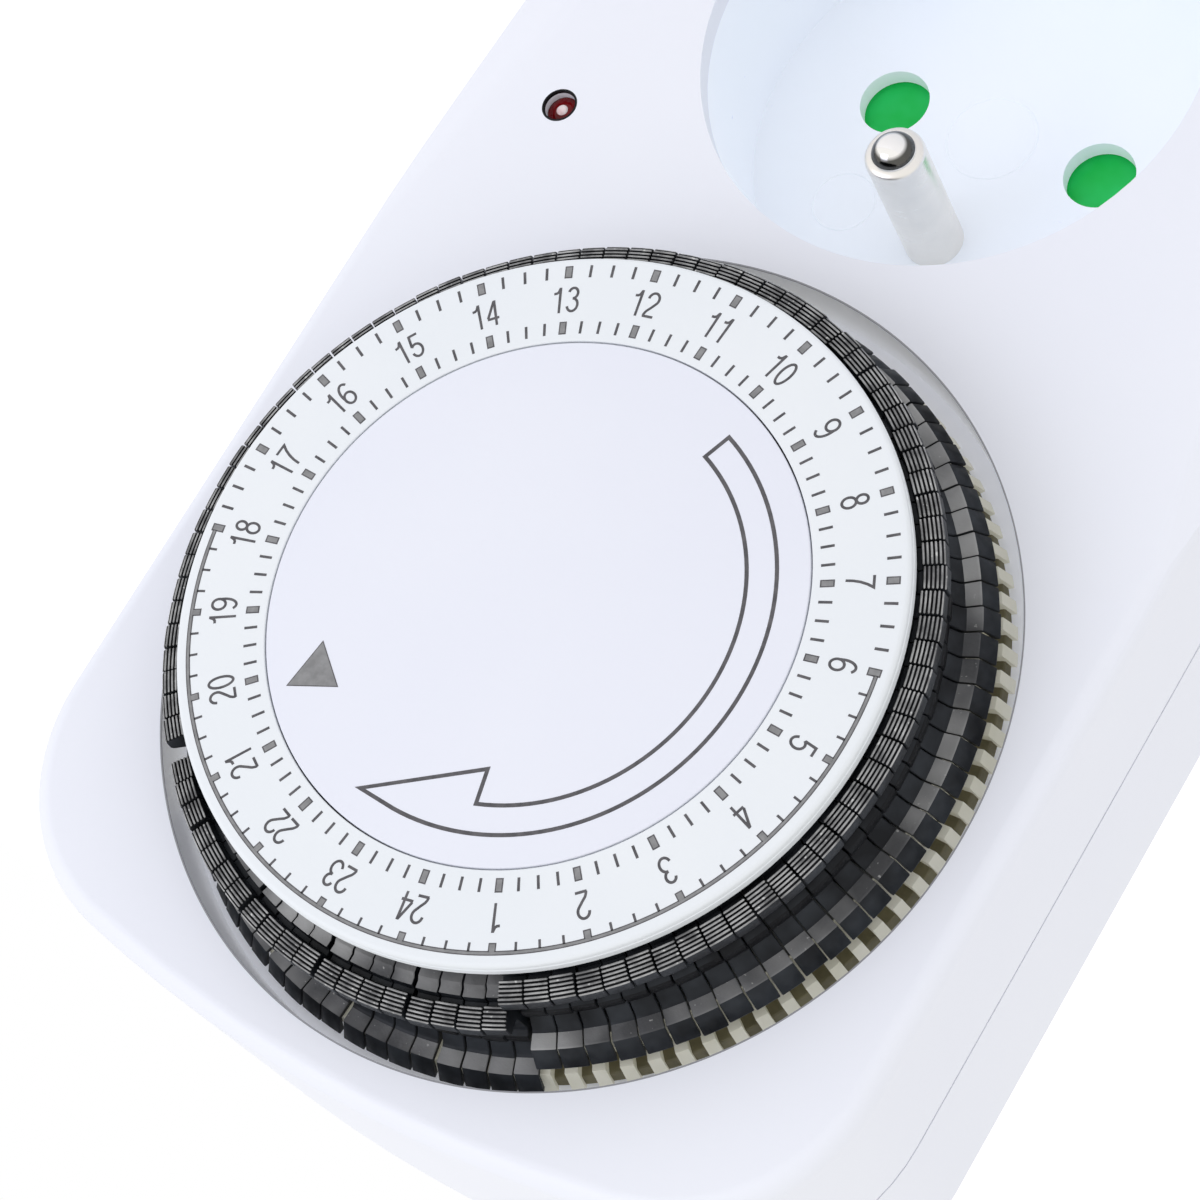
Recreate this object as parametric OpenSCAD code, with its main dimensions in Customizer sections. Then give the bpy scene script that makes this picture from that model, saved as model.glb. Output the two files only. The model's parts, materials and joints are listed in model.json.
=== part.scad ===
// Plug-in mechanical timer switch: a day dial with 96 push-down segments above a socket
// with an earth pin, in a two-part housing whose plug stands behind the socket.
// Frame: origin at the centre of the plug's face between its pins, +X to the right,
// +Z up towards the dial end, front towards -Y, plug pins towards +Y.
// All modules are drawn in the face frame: x right, y up, z out of the front face,
// origin on the front face at the socket's centre.

/* [Housing] */
// Face left at each side of the dial's well
side_land = 3.7; // [3.7:0.1:7.2]
// Face left between the socket recess and the dial's well
socket_land = 3.2; // [3.2:0.1:7.2]
// Face left between the dial's well and the dial end
end_land = 3.5; // [3.5:0.1:7.2]
// Face left between the socket recess and the socket end
recess_land = 4.5; // [4:0.1:10]
// Depth of the front shell, from the face to the parting plane
front_d = 12.5; // [11.5:0.1:13]
// Gap between the motor's can and the back wall
back_gap = 0.2; // [0.2:0.1:4.7]
// Wall of both shells
wall = 2; // [1.6:0.1:2.2]
// Radius of the housing's corners
corner_r = 15.5; // [14:0.5:17]
// Radius of the gentle arch of both ends
end_arch_r = 120; // [90:5:200]
// Rounding of the front edge
edge_r = 1.6; // [0.8:0.1:2]
// Rounding of the back edge
back_edge_r = 2; // [1:0.1:2.5]
// Width of the fine groove at the parting line
seam_w = 0.25; // [0.1:0.05:0.5]
// Angle of the side bevels across the face
bevel_drop = 21; // [12:1:24]
// Angle at which the side bevels narrow towards the dial
bevel_run = 10.6; // [8:0.2:12]

/* [Plug] */
// Radius of the plug boss
boss_r = 19; // [18.5:0.1:19.3]
// Length of the plug boss behind the housing
boss_d = 15.5; // [15:0.5:18]
// Radius of the plug pins and of the pins that the socket takes
pin_r = 2.4; // [2.4:0.05:2.5]
// Length of the plug pins
pin_l = 19; // [18:0.5:20]
// Distance between the two pins
pin_pitch = 19; // [18.5:0.1:19.5]
// Earth pin above the line of the contacts
earth_rise = 10; // [9.5:0.1:10.5]

/* [Socket] */
// Radius of the round socket recess
recess_r = 20; // [19.5:0.1:20]
// Depth of the socket recess
recess_d = 15; // [14:0.5:16]
// Wall of the socket cup
cup_wall = 1.4; // [1:0.1:1.8]
// Thickness of the socket cup's floor
cup_floor = 1.6; // [1.2:0.1:2]
// Radius of the two pin holes in the cup's floor
entry_r = 2.9; // [2.7:0.05:3.1]
// Angle that the shutter turns to clear the holes
shutter_turn = 40; // [38:1:42]

/* [Dial] */
// Outer radius of the number ring
ring_r = 27.6; // [27:0.1:28]
// Top of the dial above the housing's face
dial_rise = 9.9; // [9.6:0.1:10.4]
// Thickness of the number ring
ring_t = 1.2; // [1:0.1:1.4]
// Radius of the fixed disc in the middle of the dial
disc_r = 20.15; // [19:0.05:20.2]
// Radial gap between the number ring and the fixed disc
disc_gap = 0.25; // [0.2:0.05:0.4]
// Gap between the well's wall and the skirts of pushed segments
well_gap = 0.65; // [0.65:0.05:1.25]
// Depth of the well below the housing's face
well_d = 4.9; // [4.8:0.1:5.4]
// Radius of the fixed post that the dial turns on
post_r = 2.95; // [2:0.05:4]
// Running clearance of the dial on its post
run_gap = 0.05; // [0.03:0.01:0.08]
// Angle from straight up to the 24 o'clock mark, seen from the front
dial_turn = 11.5; // [0:0.5:359]

/* [Segments] */
// How far a pushed segment goes down along the dial's axis
push_down = 2.75; // [2:0.05:2.8]
// Angle of the cone that the segments slide on
cone_angle = 20; // [16:0.5:21]
// Gap between two segments
segment_gap = 0.13; // [0.08:0.01:0.2]

/* [Gears] */
// Gear module
gear_m = 0.5; // [0.46:0.01:0.5]
// Thickness of the dial gear
dial_gear_t = 2; // [1.6:0.1:2.2]
// Thickness of each large wheel
wheel_t = 1.2; // [1:0.1:1.4]
// Radius of the motor's can
motor_r = 12.8; // [11:0.1:12.9]
// Height of the motor's can
motor_h = 7.4; // [6.5:0.1:7.5]
// Radius of the gear axles
axle_r = 0.8; // [0.6:0.05:1]

/* [Switching] */
// Travel of the feeler that the segments press
feeler_travel = 1; // [0.8:0.05:1.1]
// Travel of the manual slider on the side
slider_travel = 5; // [4:0.5:6]
// Radius of the round hole of the indicator lamp
lamp_r = 1.3; // [1.2:0.1:2.5]
// Housing screws' thread radius
screw_r = 1.45; // [1.3:0.05:1.6]

/* [Hidden] */
$fn = 96;
QUARTERS = 96;
QUARTER = 360 / QUARTERS;
EPS = 0.01;
push_out = push_down * tan(cone_angle);
skirt_r = ring_r + 3.55;
well_r = skirt_r + push_out + well_gap;
dial_y = recess_r + socket_land + well_r;
y_top = dial_y + well_r + end_land;
y_bottom = -recess_r - recess_land;
half_w = well_r + side_land;
body_w = 2 * half_w;
seam_z = -front_d;
well_floor_z = -well_d;
floor_t = 1.5;
under_floor_z = well_floor_z - floor_t;
ring_in_r = disc_r + disc_gap;

// Teeth of the dial's gear, of the train's wheels and pinions and of the motor's pinion
dial_teeth = 60;
wheel_teeth = 48;
pinion_teeth = 12;
motor_teeth = 10;

// The programme that is set: quarter hours counted from 0:00, pushed down one after the other
first_pushed = 81;
pushed_count = 19;
// Angle from straight up to the fixed pointer, seen from the front
pointer_turn = 315.25;

// Segment profile, as radius and depth below the dial's top plane
slide_gap = 0.15;
segment_top_d = ring_t + 0.1;
cone_top_r = ring_r - 3.25;
ledge_d = 8.8;
ledge_under_d = 9.3;
skirt_d = 10.5;
tooth_top_d = ledge_under_d + push_down + slide_gap;
tooth_bottom_d = dial_rise + well_d - 0.6;
tooth_r = ring_r + 3.25;

// Layers of the gear train, from the well's floor down
dial_gear_z = under_floor_z - 0.8;
layer_gap = 0.6;
wheel_1_z = dial_gear_z - dial_gear_t - layer_gap;
wheel_2_z = wheel_1_z - wheel_t - layer_gap;
wheel_3_z = wheel_2_z - wheel_t - layer_gap;
plate_z = wheel_3_z - wheel_t - layer_gap;
plate_t = 1.2;
motor_top_z = plate_z - plate_t;
back_in_z = motor_top_z - motor_h - back_gap;
back_z = back_in_z - wall;
rear_d = seam_z - back_z;
boss_z = back_z - boss_d;
axle_top_z = under_floor_z - 0.2;
hub_r = 4.95;
post_end_r = 1.9;

// Centres of the train's axles, from the dial's axis through to the motor
function step(from, dist, angle) = from + dist * [cos(angle), sin(angle)];
dial_c = [0, dial_y];
third_angle = 205;
second_angle = 95;
first_angle = 45;
motor_angle = -15;
third_c = step(dial_c, gear_m * (dial_teeth + pinion_teeth) / 2, third_angle);
second_c = step(third_c, gear_m * (wheel_teeth + pinion_teeth) / 2, second_angle);
first_c = step(second_c, gear_m * (wheel_teeth + pinion_teeth) / 2, first_angle);
motor_c = step(first_c, gear_m * (wheel_teeth + motor_teeth) / 2, motor_angle);

// Angle of a tooth of the follower that meshes with a wheel standing at the given phase
function mesh_phase(angle, teeth, phase, mate_teeth) =
    angle + 180 - (180 - teeth * (angle - phase)) / mate_teeth;
third_phase = mesh_phase(third_angle, dial_teeth, 0, pinion_teeth);
second_phase = mesh_phase(second_angle, wheel_teeth, 0, pinion_teeth);
first_phase = mesh_phase(first_angle, wheel_teeth, 0, pinion_teeth);
motor_phase = mesh_phase(motor_angle, wheel_teeth, 0, motor_teeth);

// Feeler and switch
feeler_turn = pointer_turn - QUARTER / 2;
feeler_r = skirt_r + push_out - 0.2;
feeler_tip_d = skirt_d + push_down + 0.25;
feeler_c = step(dial_c, feeler_r, 90 + feeler_turn);
lever_z = under_floor_z - 1.2;
lever_t = 1.2;
lever_l = 18;
lever_pivot_r = 0.6;
pivot_c = [feeler_c[0], feeler_c[1] - lever_l];
button_y = pivot_c[1] + 10;
button_r = 1.1;
switch_top_z = lever_z - lever_t - 1.1;
switch_size = [6.4, 19.8, 6.3];

// Socket and plug
cup_r = recess_r + cup_wall;
cup_top_z = -2;
cup_under_z = -recess_d - cup_floor;
shutter_z = cup_under_z - 0.3;
shutter_t = 1.2;
sleeve_top_z = shutter_z - shutter_t - 0.5;
sleeve_wall = 0.8;
sleeve_in_r = pin_r + 0.05;
shank_r = pin_r + 0.3;
sleeve_out_r = sleeve_in_r + sleeve_wall;
boss_floor_z = boss_z + wall;
pin_head_z = boss_floor_z + 2.4;
sleeve_bottom_z = pin_head_z + 1.4;
strip_t = 0.8;
earth_join_z = back_z;
strip_z = -30;
earth_clip_w = 4.4;
bar_w = 3;
clip_y = boss_r - 0.9;
pin_xs = [-pin_pitch / 2, pin_pitch / 2];

// Screws, pillars and lamp
screw_x = half_w - wall - 7;
screw_ys = [y_bottom + 12.5, y_top - 9.3];
post_boss_r = 3;
pillar_r = 2.4;
pillar_hole_r = 0.9;
pillars = [
    step(dial_c, gear_m * dial_teeth / 2 + 5, -53),
    step(third_c, gear_m * wheel_teeth / 2 + pillar_r + 1.2, 248),
    step(motor_c, motor_r + 3, 50)
];
lamp_c = step([0, 0], cup_r + 10.1, 32);
lamp_sink = 0.9;
slider_z = seam_z - 5.5;
slider_h = 3;
slider_l = 6;
slider_c = [half_w, corner_y_of(y_top) - slider_travel - slider_l / 2 - 2.7];

WHITE = [0.93, 0.94, 0.96];
SHADE = [0.85, 0.9, 0.97];
DARK = [0.12, 0.12, 0.13];
CREAM = [0.9, 0.88, 0.78];
STEEL = [0.75, 0.75, 0.77];
BRASS = [0.83, 0.68, 0.35];
GREEN = [0.05, 0.4, 0.2];

HOURS = [for (h = [0:23]) h];
SPLIT_HOUR = floor(first_pushed / 4);
function two(h) = h < 10 ? str("0", h) : str(h);
function hour_node(h) = str("segments_", two(h), "h");
SPLIT_NODE = "segments_20h_pushed";

// ---- helpers -------------------------------------------------------------------

// Places face-frame geometry in the part's frame
module placed() {
    translate([0, boss_z, 0]) rotate([90, 0, 0]) children();
}

// Moves to the dial's axis
module at_dial() {
    translate([0, dial_y, 0]) children();
}

// A cylinder between two heights
module drum(r, z_low, z_high, c = [0, 0]) {
    translate([c[0], c[1], z_low]) cylinder(r = r, h = z_high - z_low);
}

// A box between two corners
module block(low, high) {
    translate(low) cube(high - low);
}

// One arched end of the housing's outline, grown inwards by inset
module end_outline(inset, y_end) {
    centre_y = y_end - end_arch_r;
    corner_x = half_w - corner_r;
    corner_y = centre_y + sqrt(pow(end_arch_r - corner_r, 2) - pow(corner_x, 2));
    for (side = [-1, 1]) translate([side * corner_x, corner_y]) circle(r = corner_r - inset);
    intersection() {
        translate([0, centre_y]) circle(r = end_arch_r - inset, $fn = 360);
        translate([0, centre_y]) polygon([
            [0, 0],
            2 * [corner_x, corner_y - centre_y],
            2 * [-corner_x, corner_y - centre_y]
        ]);
        translate([-corner_x - 1, corner_y - corner_r]) square([2 * corner_x + 2, 2 * corner_r]);
    }
}

function corner_y_of(y_end) =
    y_end - end_arch_r + sqrt(pow(end_arch_r - corner_r, 2) - pow(half_w - corner_r, 2));

// The housing's outline, grown inwards by inset
module outline(inset) {
    top = corner_y_of(y_top);
    bottom = -corner_y_of(-y_bottom);
    end_outline(inset, y_top);
    mirror([0, 1]) end_outline(inset, -y_bottom);
    translate([-half_w + inset, bottom]) square([body_w - 2 * inset, top - bottom]);
    translate([-half_w + corner_r, bottom - corner_r / 2])
        square([body_w - 2 * corner_r, top - bottom + corner_r]);
}

// A slab of the housing's outline between two heights
module slab(inset, z_low, z_high) {
    translate([0, 0, z_low]) linear_extrude(z_high - z_low) outline(inset);
}

// Half of the section of a block whose upper outer edge is rounded
module rounded_section(w, r, h) {
    rounding = [for (a = [0:15:90]) [w - r + r * cos(a), h - r + r * sin(a)]];
    polygon(concat([[0, 0], [w, 0]], rounding, [[0, h]]));
}

// The housing's block from its parting plane up, with one rounded edge
module rounded_block(h, r) {
    corner_x = half_w - corner_r;
    top = corner_y_of(y_top);
    bottom = -corner_y_of(-y_bottom);
    arch = atan2(corner_x, top - y_top + end_arch_r);
    hull() {
        for (x = [-corner_x, corner_x], y = [bottom, top]) translate([x, y, 0])
            rotate_extrude($fn = 64) rounded_section(corner_r, r, h);
        for (end = [[y_top - end_arch_r, 90], [y_bottom + end_arch_r, 270]])
            translate([0, end[0], 0]) rotate([0, 0, end[1] - arch])
                rotate_extrude(angle = 2 * arch, $fn = 180) translate([end_arch_r - corner_r, 0])
                    rounded_section(corner_r, r, h);
    }
}

// What the two shallow bevels take off the face towards the socket end, kept a wall away
module side_bevels(inset) {
    start_y = dial_y - 20;
    for (side = [0, 1]) mirror([side, 0, 0])
        translate([half_w - 1, start_y, 0])
            rotate([0, 0, -bevel_run])
                rotate([0, bevel_drop, 0])
                    translate([-20, -150, -inset]) cube([60, 170, 20]);
}

// A pin with a rounded tip at its low end
module round_pin(r, z_tip, z_base, c) {
    drum(r, z_tip + r * 0.6, z_base, c);
    translate([c[0], c[1], z_tip + r * 0.6]) intersection() {
        scale(1) sphere(r = r);
        translate([0, 0, -r * 0.6]) cylinder(r = r, h = r);
    }
}

// Outline of a gear with straight-sided teeth, one tooth centred on the phase angle
module gear_outline(teeth, phase) {
    pitch_r = gear_m * teeth / 2;
    tip_r = pitch_r + 0.9 * gear_m;
    root_r = pitch_r - 1.15 * gear_m;
    pitch = 360 / teeth;
    tip_half = 0.1 * pitch;
    root_half = 0.29 * pitch;
    polygon([
        for (i = [0:teeth - 1], corner = [
            [root_r, -root_half], [tip_r, -tip_half], [tip_r, tip_half], [root_r, root_half]
        ]) corner[0] * [cos(phase + i * pitch + corner[1]), sin(phase + i * pitch + corner[1])]
    ]);
}

module gear(teeth, phase, z_low, z_high, c) {
    translate([c[0], c[1], z_low]) linear_extrude(z_high - z_low) gear_outline(teeth, phase);
}

// A pinion and a wheel in one piece, bored for its axle
module compound_gear(c, pinion_phase, wheel_z) {
    color(CREAM) difference() {
        union() {
            gear(wheel_teeth, 0, wheel_z - wheel_t, wheel_z, c);
            gear(pinion_teeth, pinion_phase, wheel_z - EPS, wheel_z + layer_gap + wheel_t + 0.5, c);
        }
        drum(axle_r + run_gap, wheel_z - wheel_t - 1, wheel_z + 9, c);
    }
}

// ---- housing -------------------------------------------------------------------

module screw_posts(r, z_low, z_high) {
    for (x = [-screw_x, screw_x], y = screw_ys) drum(r, z_low, z_high, [x, y]);
}

module lamp_hole(r, z_low, z_high) {
    drum(r, z_low, z_high, lamp_c);
}

module feeler_slot(z_low, z_high) {
    translate([0, dial_y, 0]) rotate([0, 0, feeler_turn])
        block([-1.1, feeler_r - 0.75, z_low], [1.1, feeler_r + 0.75, z_high]);
}

module front_shell() {
    color(WHITE) difference() {
        union() {
            difference() {
                translate([0, 0, seam_z]) rounded_block(front_d, edge_r);
                difference() {
                    slab(wall, seam_z - 1, -wall);
                    side_bevels(wall);
                }
            }
            at_dial() drum(well_r + floor_t, under_floor_z, -EPS);
            drum(cup_r + 1.6, seam_z, -EPS);
            screw_posts(post_boss_r, seam_z, -EPS);
            for (p = pillars) drum(pillar_r, plate_z, -EPS, p);
            lamp_hole(lamp_r + 1.5, -6, -EPS);
            lever_lugs();
        }
        at_dial() drum(well_r, well_floor_z, 1);
        at_dial() drum(hub_r + 0.6, under_floor_z - 1, 0);
        drum(recess_r, seam_z - 1, 1);
        drum(cup_r + run_gap, seam_z - 1, cup_top_z);
        lamp_hole(lamp_r, -20, 1);
        lamp_hole(lamp_r + 0.5 + run_gap, -20, -lamp_sink - 1);
        feeler_slot(under_floor_z - 1, well_floor_z + 1);
        screw_posts(screw_r + run_gap, seam_z - 1, -2.5);
        for (p = pillars) drum(pillar_hole_r, plate_z - 1, plate_z + 5, p);
        side_bevels(0);
        difference() {
            slab(-1, seam_z - EPS, seam_z + seam_w);
            slab(wall / 2, seam_z - 1, seam_z + 1);
        }
    }
}

// Two lugs under the well's floor that carry the lever's pivot
module lever_lugs() {
    lug_t = 1.2;
    half_gap = 1.9;
    for (x = [pivot_c[0] - half_gap - lug_t, pivot_c[0] + half_gap])
        difference() {
            block([x, pivot_c[1] - 1.8, lever_z - lever_t - 0.8],
                  [x + lug_t, pivot_c[1] + 1.8, under_floor_z + EPS]);
            translate([x - 1, pivot_c[1], lever_z - lever_t / 2]) rotate([0, 90, 0])
                cylinder(r = lever_pivot_r + run_gap, h = lug_t + 2);
        }
}

module slider_window(grow, x_low, x_high) {
    block([x_low, slider_c[1] - slider_l / 2 - grow, slider_z - slider_h / 2 - 0.2],
          [x_high, slider_c[1] + slider_l / 2 + slider_travel + grow, slider_z + slider_h / 2 + 0.2]);
}

module rear_shell() {
    groove_w = 6;
    groove_x = boss_r - 2.8;
    color(WHITE) difference() {
        union() {
            difference() {
                translate([0, 0, seam_z]) mirror([0, 0, 1]) rounded_block(rear_d, back_edge_r);
                slab(wall, back_in_z, seam_z + 1);
            }
            drum(boss_r, boss_z, back_in_z);
            screw_posts(post_boss_r + 1, back_z + wall / 2, seam_z);
            for (y = [pivot_c[1] + 3, pivot_c[1] + 14]) block(
                [pivot_c[0] - 1, y, back_z + wall / 2],
                [pivot_c[0] + 1, y + 1.5, switch_top_z - switch_size[2]]);
        }
        drum(boss_r - 3.3, boss_floor_z, back_in_z + 1);
        for (x = pin_xs) drum(shank_r, boss_z - 1, boss_floor_z + 1, [x, 0]);
        drum(pin_r + 0.4, boss_z - 1, boss_floor_z + 1, [0, earth_rise]);
        for (side = [-1, 1]) {
            block([side * (groove_x + 5) - 5, -groove_w / 2, boss_z - 1],
                  [side * (groove_x + 5) + 5, groove_w / 2, back_z]);
            block([-earth_clip_w / 2 - 0.1, side * (clip_y + 1.5) - 2, boss_z + 1.5],
                  [earth_clip_w / 2 + 0.1, side * (clip_y + 1.5) + 2, strip_z + strip_t + 0.1]);
            block([-earth_clip_w / 2 - 0.1, side * (boss_r - 3) - 4, strip_z - 0.1],
                  [earth_clip_w / 2 + 0.1, side * (boss_r - 3) + 4, strip_z + strip_t + 0.1]);
        }
        screw_posts(screw_r + 0.25, back_z - 1, seam_z + 1);
        screw_posts(2.7, back_z - 1, back_z + 4);
        slider_window(0.3, half_w - wall - 1, half_w + 1);
    }
}

module housing_screws() {
    head_r = 2.5;
    slot_w = 0.6;
    color(STEEL) for (x = [-screw_x, screw_x], y = screw_ys) difference() {
        union() {
            drum(screw_r, back_z + 3, -6, [x, y]);
            drum(head_r, back_z + 2, back_z + 4, [x, y]);
        }
        for (turn = [0, 90]) translate([x, y, back_z + 2]) rotate([0, 0, turn])
            cube([3, slot_w, 1.6], center = true);
    }
}

module lamp_lens() {
    color([0.8, 0.05, 0.04]) {
        lamp_hole(lamp_r - 0.03, -lamp_sink - 1.2, -lamp_sink);
        lamp_hole(lamp_r + 0.5, -lamp_sink - 2.6, -lamp_sink - 1);
    }
}

module lamp_board() {
    board_z = -9.5;
    color([0.75, 0.7, 0.55]) {
        block([lamp_c[0] - 4, lamp_c[1] - 6, board_z - 1], [lamp_c[0] + 4, lamp_c[1] + 6, board_z]);
        drum(lamp_r + 0.3, board_z, -lamp_sink - 2.8, lamp_c);
        translate([lamp_c[0] - 2.6, lamp_c[1] + 4.4, board_z - 1.9]) rotate([0, 90, 0])
            cylinder(r = 0.95, h = 5.2);
    }
}

// ---- socket and plug -----------------------------------------------------------

module socket_cup() {
    color(SHADE) difference() {
        drum(cup_r, cup_under_z, cup_top_z);
        drum(recess_r, -recess_d, 1);
        for (x = pin_xs) drum(entry_r, cup_under_z - 1, 1, [x, 0]);
        drum(pin_r - 0.1, cup_under_z - 1, 1, [0, earth_rise]);
    }
    color(SHADE) drum(1.5, shutter_z - shutter_t - 2.6, cup_under_z + EPS);
}

module earth_pin() {
    tip_z = -0.4;
    color(STEEL) {
        drum(pin_r - 0.3, earth_join_z, -recess_d + EPS, [0, earth_rise]);
        drum(pin_r, -recess_d, tip_z - pin_r, [0, earth_rise]);
        translate([0, earth_rise, tip_z - pin_r]) intersection() {
            sphere(r = pin_r);
            cylinder(r = pin_r + 1, h = pin_r + 1);
        }
    }
}

module shutter() {
    hub_out_r = 3.4;
    lobe_r = pin_pitch / 2 + entry_r + 0.4;
    lobe_half = asin(entry_r / (pin_pitch / 2)) + 2;
    color(GREEN) difference() {
        union() {
            drum(hub_out_r, shutter_z - shutter_t, shutter_z);
            for (turn = [0, 180]) rotate([0, 0, turn - lobe_half]) translate([0, 0, shutter_z - shutter_t])
                rotate_extrude(angle = 2 * lobe_half) translate([hub_out_r - 1, 0])
                    square([lobe_r - hub_out_r + 1, shutter_t]);
        }
        drum(1.5 + run_gap, shutter_z - shutter_t - 1, shutter_z + 1);
    }
}

// A tube of round wire along points in space
module wire(points, r, sides) {
    n = len(points);
    function along(i) = let (a = points[max(i - 1, 0)], b = points[min(i + 1, n - 1)]) (b - a) / norm(b - a);
    function across(t) = let (s = cross([0, 0.02, 1], t)) s / norm(s);
    rings = [for (i = [0:n - 1], k = [0:sides - 1])
        let (t = along(i), u = across(t), v = cross(t, u))
        points[i] + r * (cos(360 * k / sides) * u + sin(360 * k / sides) * v)];
    walls = [for (i = [0:n - 2], k = [0:sides - 1], half = [0, 1])
        let (a = i * sides + k, b = i * sides + (k + 1) % sides)
        half == 0 ? [a, b, b + sides] : [a, b + sides, a + sides]];
    ends = [[for (k = [sides - 1:-1:0]) k], [for (k = [0:sides - 1]) (n - 1) * sides + k]];
    polyhedron(rings, concat(walls, ends));
}

// The shutter's return spring: two and a half turns round its hub, with straight legs
module shutter_spring() {
    wire_r = 0.25;
    coil_r = 2.2;
    turns = 2.5;
    rise = 0.8;
    steps = 40;
    top_z = shutter_z - shutter_t - 0.3;
    coil = [for (i = [0:steps]) let (a = 360 * turns * i / steps)
        [coil_r * cos(a), coil_r * sin(a), top_z - rise * turns * i / steps]];
    leg_in = [[coil_r, -5, top_z], [coil_r, -2.5, top_z]];
    leg_out = [[-coil_r, -2.5, top_z - rise * turns], [-coil_r, -5, top_z - rise * turns]];
    color(STEEL) wire(concat(leg_in, coil, leg_out), wire_r, 6);
}

module contact(x) {
    color(BRASS) difference() {
        drum(sleeve_out_r, sleeve_bottom_z, sleeve_top_z, [x, 0]);
        drum(sleeve_in_r, sleeve_bottom_z + 1, sleeve_top_z + 1, [x, 0]);
        block([x - 0.4, -5, sleeve_bottom_z + 5], [x + 0.4, 5, sleeve_top_z + 1]);
    }
}

module plug_pin(x) {
    color(STEEL) {
        round_pin(pin_r, boss_z - pin_l, boss_z + EPS, [x, 0]);
        drum(shank_r, boss_z, pin_head_z, [x, 0]);
        drum(shank_r + 0.6, boss_floor_z, boss_floor_z + 1.4, [x, 0]);
    }
}

module earth_strip() {
    color(BRASS) {
        difference() {
            drum(sleeve_out_r, boss_floor_z, earth_join_z, [0, earth_rise]);
            drum(sleeve_in_r, boss_floor_z - 1, earth_join_z - 1.5, [0, earth_rise]);
        }
        difference() {
            block([-earth_clip_w / 2, -clip_y, strip_z], [earth_clip_w / 2, clip_y, strip_z + strip_t]);
            drum(sleeve_out_r - 0.2, strip_z - 1, strip_z + 2, [0, earth_rise]);
        }
        for (side = [-1, 1]) block(
            [-earth_clip_w / 2, side * clip_y - 0.4, boss_z + 2],
            [earth_clip_w / 2, side * clip_y + 0.4, strip_z + strip_t]);
    }
}

// Flat brass link between a plug pin's head and the contact above it
module neutral_bar() {
    color(BRASS) drum(pin_r + 0.6, pin_head_z, sleeve_bottom_z, [pin_xs[0], 0]);
}

module line_feed_bar() {
    x = pin_xs[1];
    top_z = switch_top_z - switch_size[2];
    end_y = pivot_c[1] - 1;
    rise_x = x + sleeve_out_r + 0.1 + strip_t;
    run_z = back_in_z + 0.6;
    color(BRASS) {
        drum(pin_r + 0.6, pin_head_z, pin_head_z + strip_t, [x, 0]);
        block([x, -bar_w / 2, pin_head_z], [rise_x, bar_w / 2, pin_head_z + strip_t]);
        block([rise_x - strip_t, -bar_w / 2, pin_head_z], [rise_x, bar_w / 2, run_z + strip_t]);
        block([rise_x - strip_t, -bar_w / 2, run_z], [pivot_c[0] + bar_w / 2, bar_w / 2, run_z + strip_t]);
        block([pivot_c[0] - bar_w / 2, -bar_w / 2, run_z], [pivot_c[0] + bar_w / 2, end_y, run_z + strip_t]);
        block([pivot_c[0] - bar_w / 2, end_y - strip_t, run_z], [pivot_c[0] + bar_w / 2, end_y, top_z]);
    }
}

module switched_line_bar() {
    x = pin_xs[1];
    start_x = x + sleeve_out_r;
    run_z = sleeve_top_z - 1.2;
    end_y = pivot_c[1] - 5;
    color(BRASS) {
        block([start_x, -bar_w / 2, run_z - 0.6], [start_x + strip_t, bar_w / 2, run_z + 1]);
        block([start_x, -bar_w / 2, run_z], [pivot_c[0] + bar_w / 2, bar_w / 2, run_z + strip_t]);
        block([pivot_c[0] - bar_w / 2, -bar_w / 2, run_z], [pivot_c[0] + bar_w / 2, end_y, run_z + strip_t]);
        block([pivot_c[0] - bar_w / 2, end_y - strip_t, run_z], [pivot_c[0] + bar_w / 2, end_y, run_z + 3.4]);
        block([pivot_c[0] - bar_w / 2, end_y - strip_t, run_z + 3.4 - strip_t],
              [pivot_c[0] + bar_w / 2, pivot_c[1] - 2.4, run_z + 3.4]);
    }
}

// ---- dial ----------------------------------------------------------------------

function dial_point(r, depth) = [r, dial_rise - depth];
function cone_r(depth) = cone_top_r + tan(cone_angle) * (depth - segment_top_d);

module centre_disc() {
    disc_t = ring_t - 0.2;
    color(WHITE) at_dial() {
        drum(disc_r, dial_rise - disc_t, dial_rise);
        drum(1.4, dial_rise - 6, dial_rise - disc_t + EPS);
    }
}

module centre_post() {
    disc_t = ring_t - 0.2;
    color(WHITE) at_dial() difference() {
        union() {
            drum(post_r, plate_z, dial_rise - disc_t);
            drum(post_r + 2, plate_z, plate_z + 1);
            drum(post_end_r, plate_z - plate_t, plate_z + EPS);
        }
        drum(1.45, dial_rise - 7, dial_rise);
    }
}

module number_ring() {
    bead_r = 0.5;
    color(WHITE) at_dial() {
        difference() {
            drum(ring_r, dial_rise - ring_t, dial_rise);
            drum(ring_in_r, dial_rise - ring_t - 1, dial_rise + 1);
        }
        translate([0, 0, dial_rise - 0.1]) rotate_extrude()
            translate([ring_r - bead_r, 0]) circle(r = bead_r, $fn = 32);
    }
}

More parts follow.
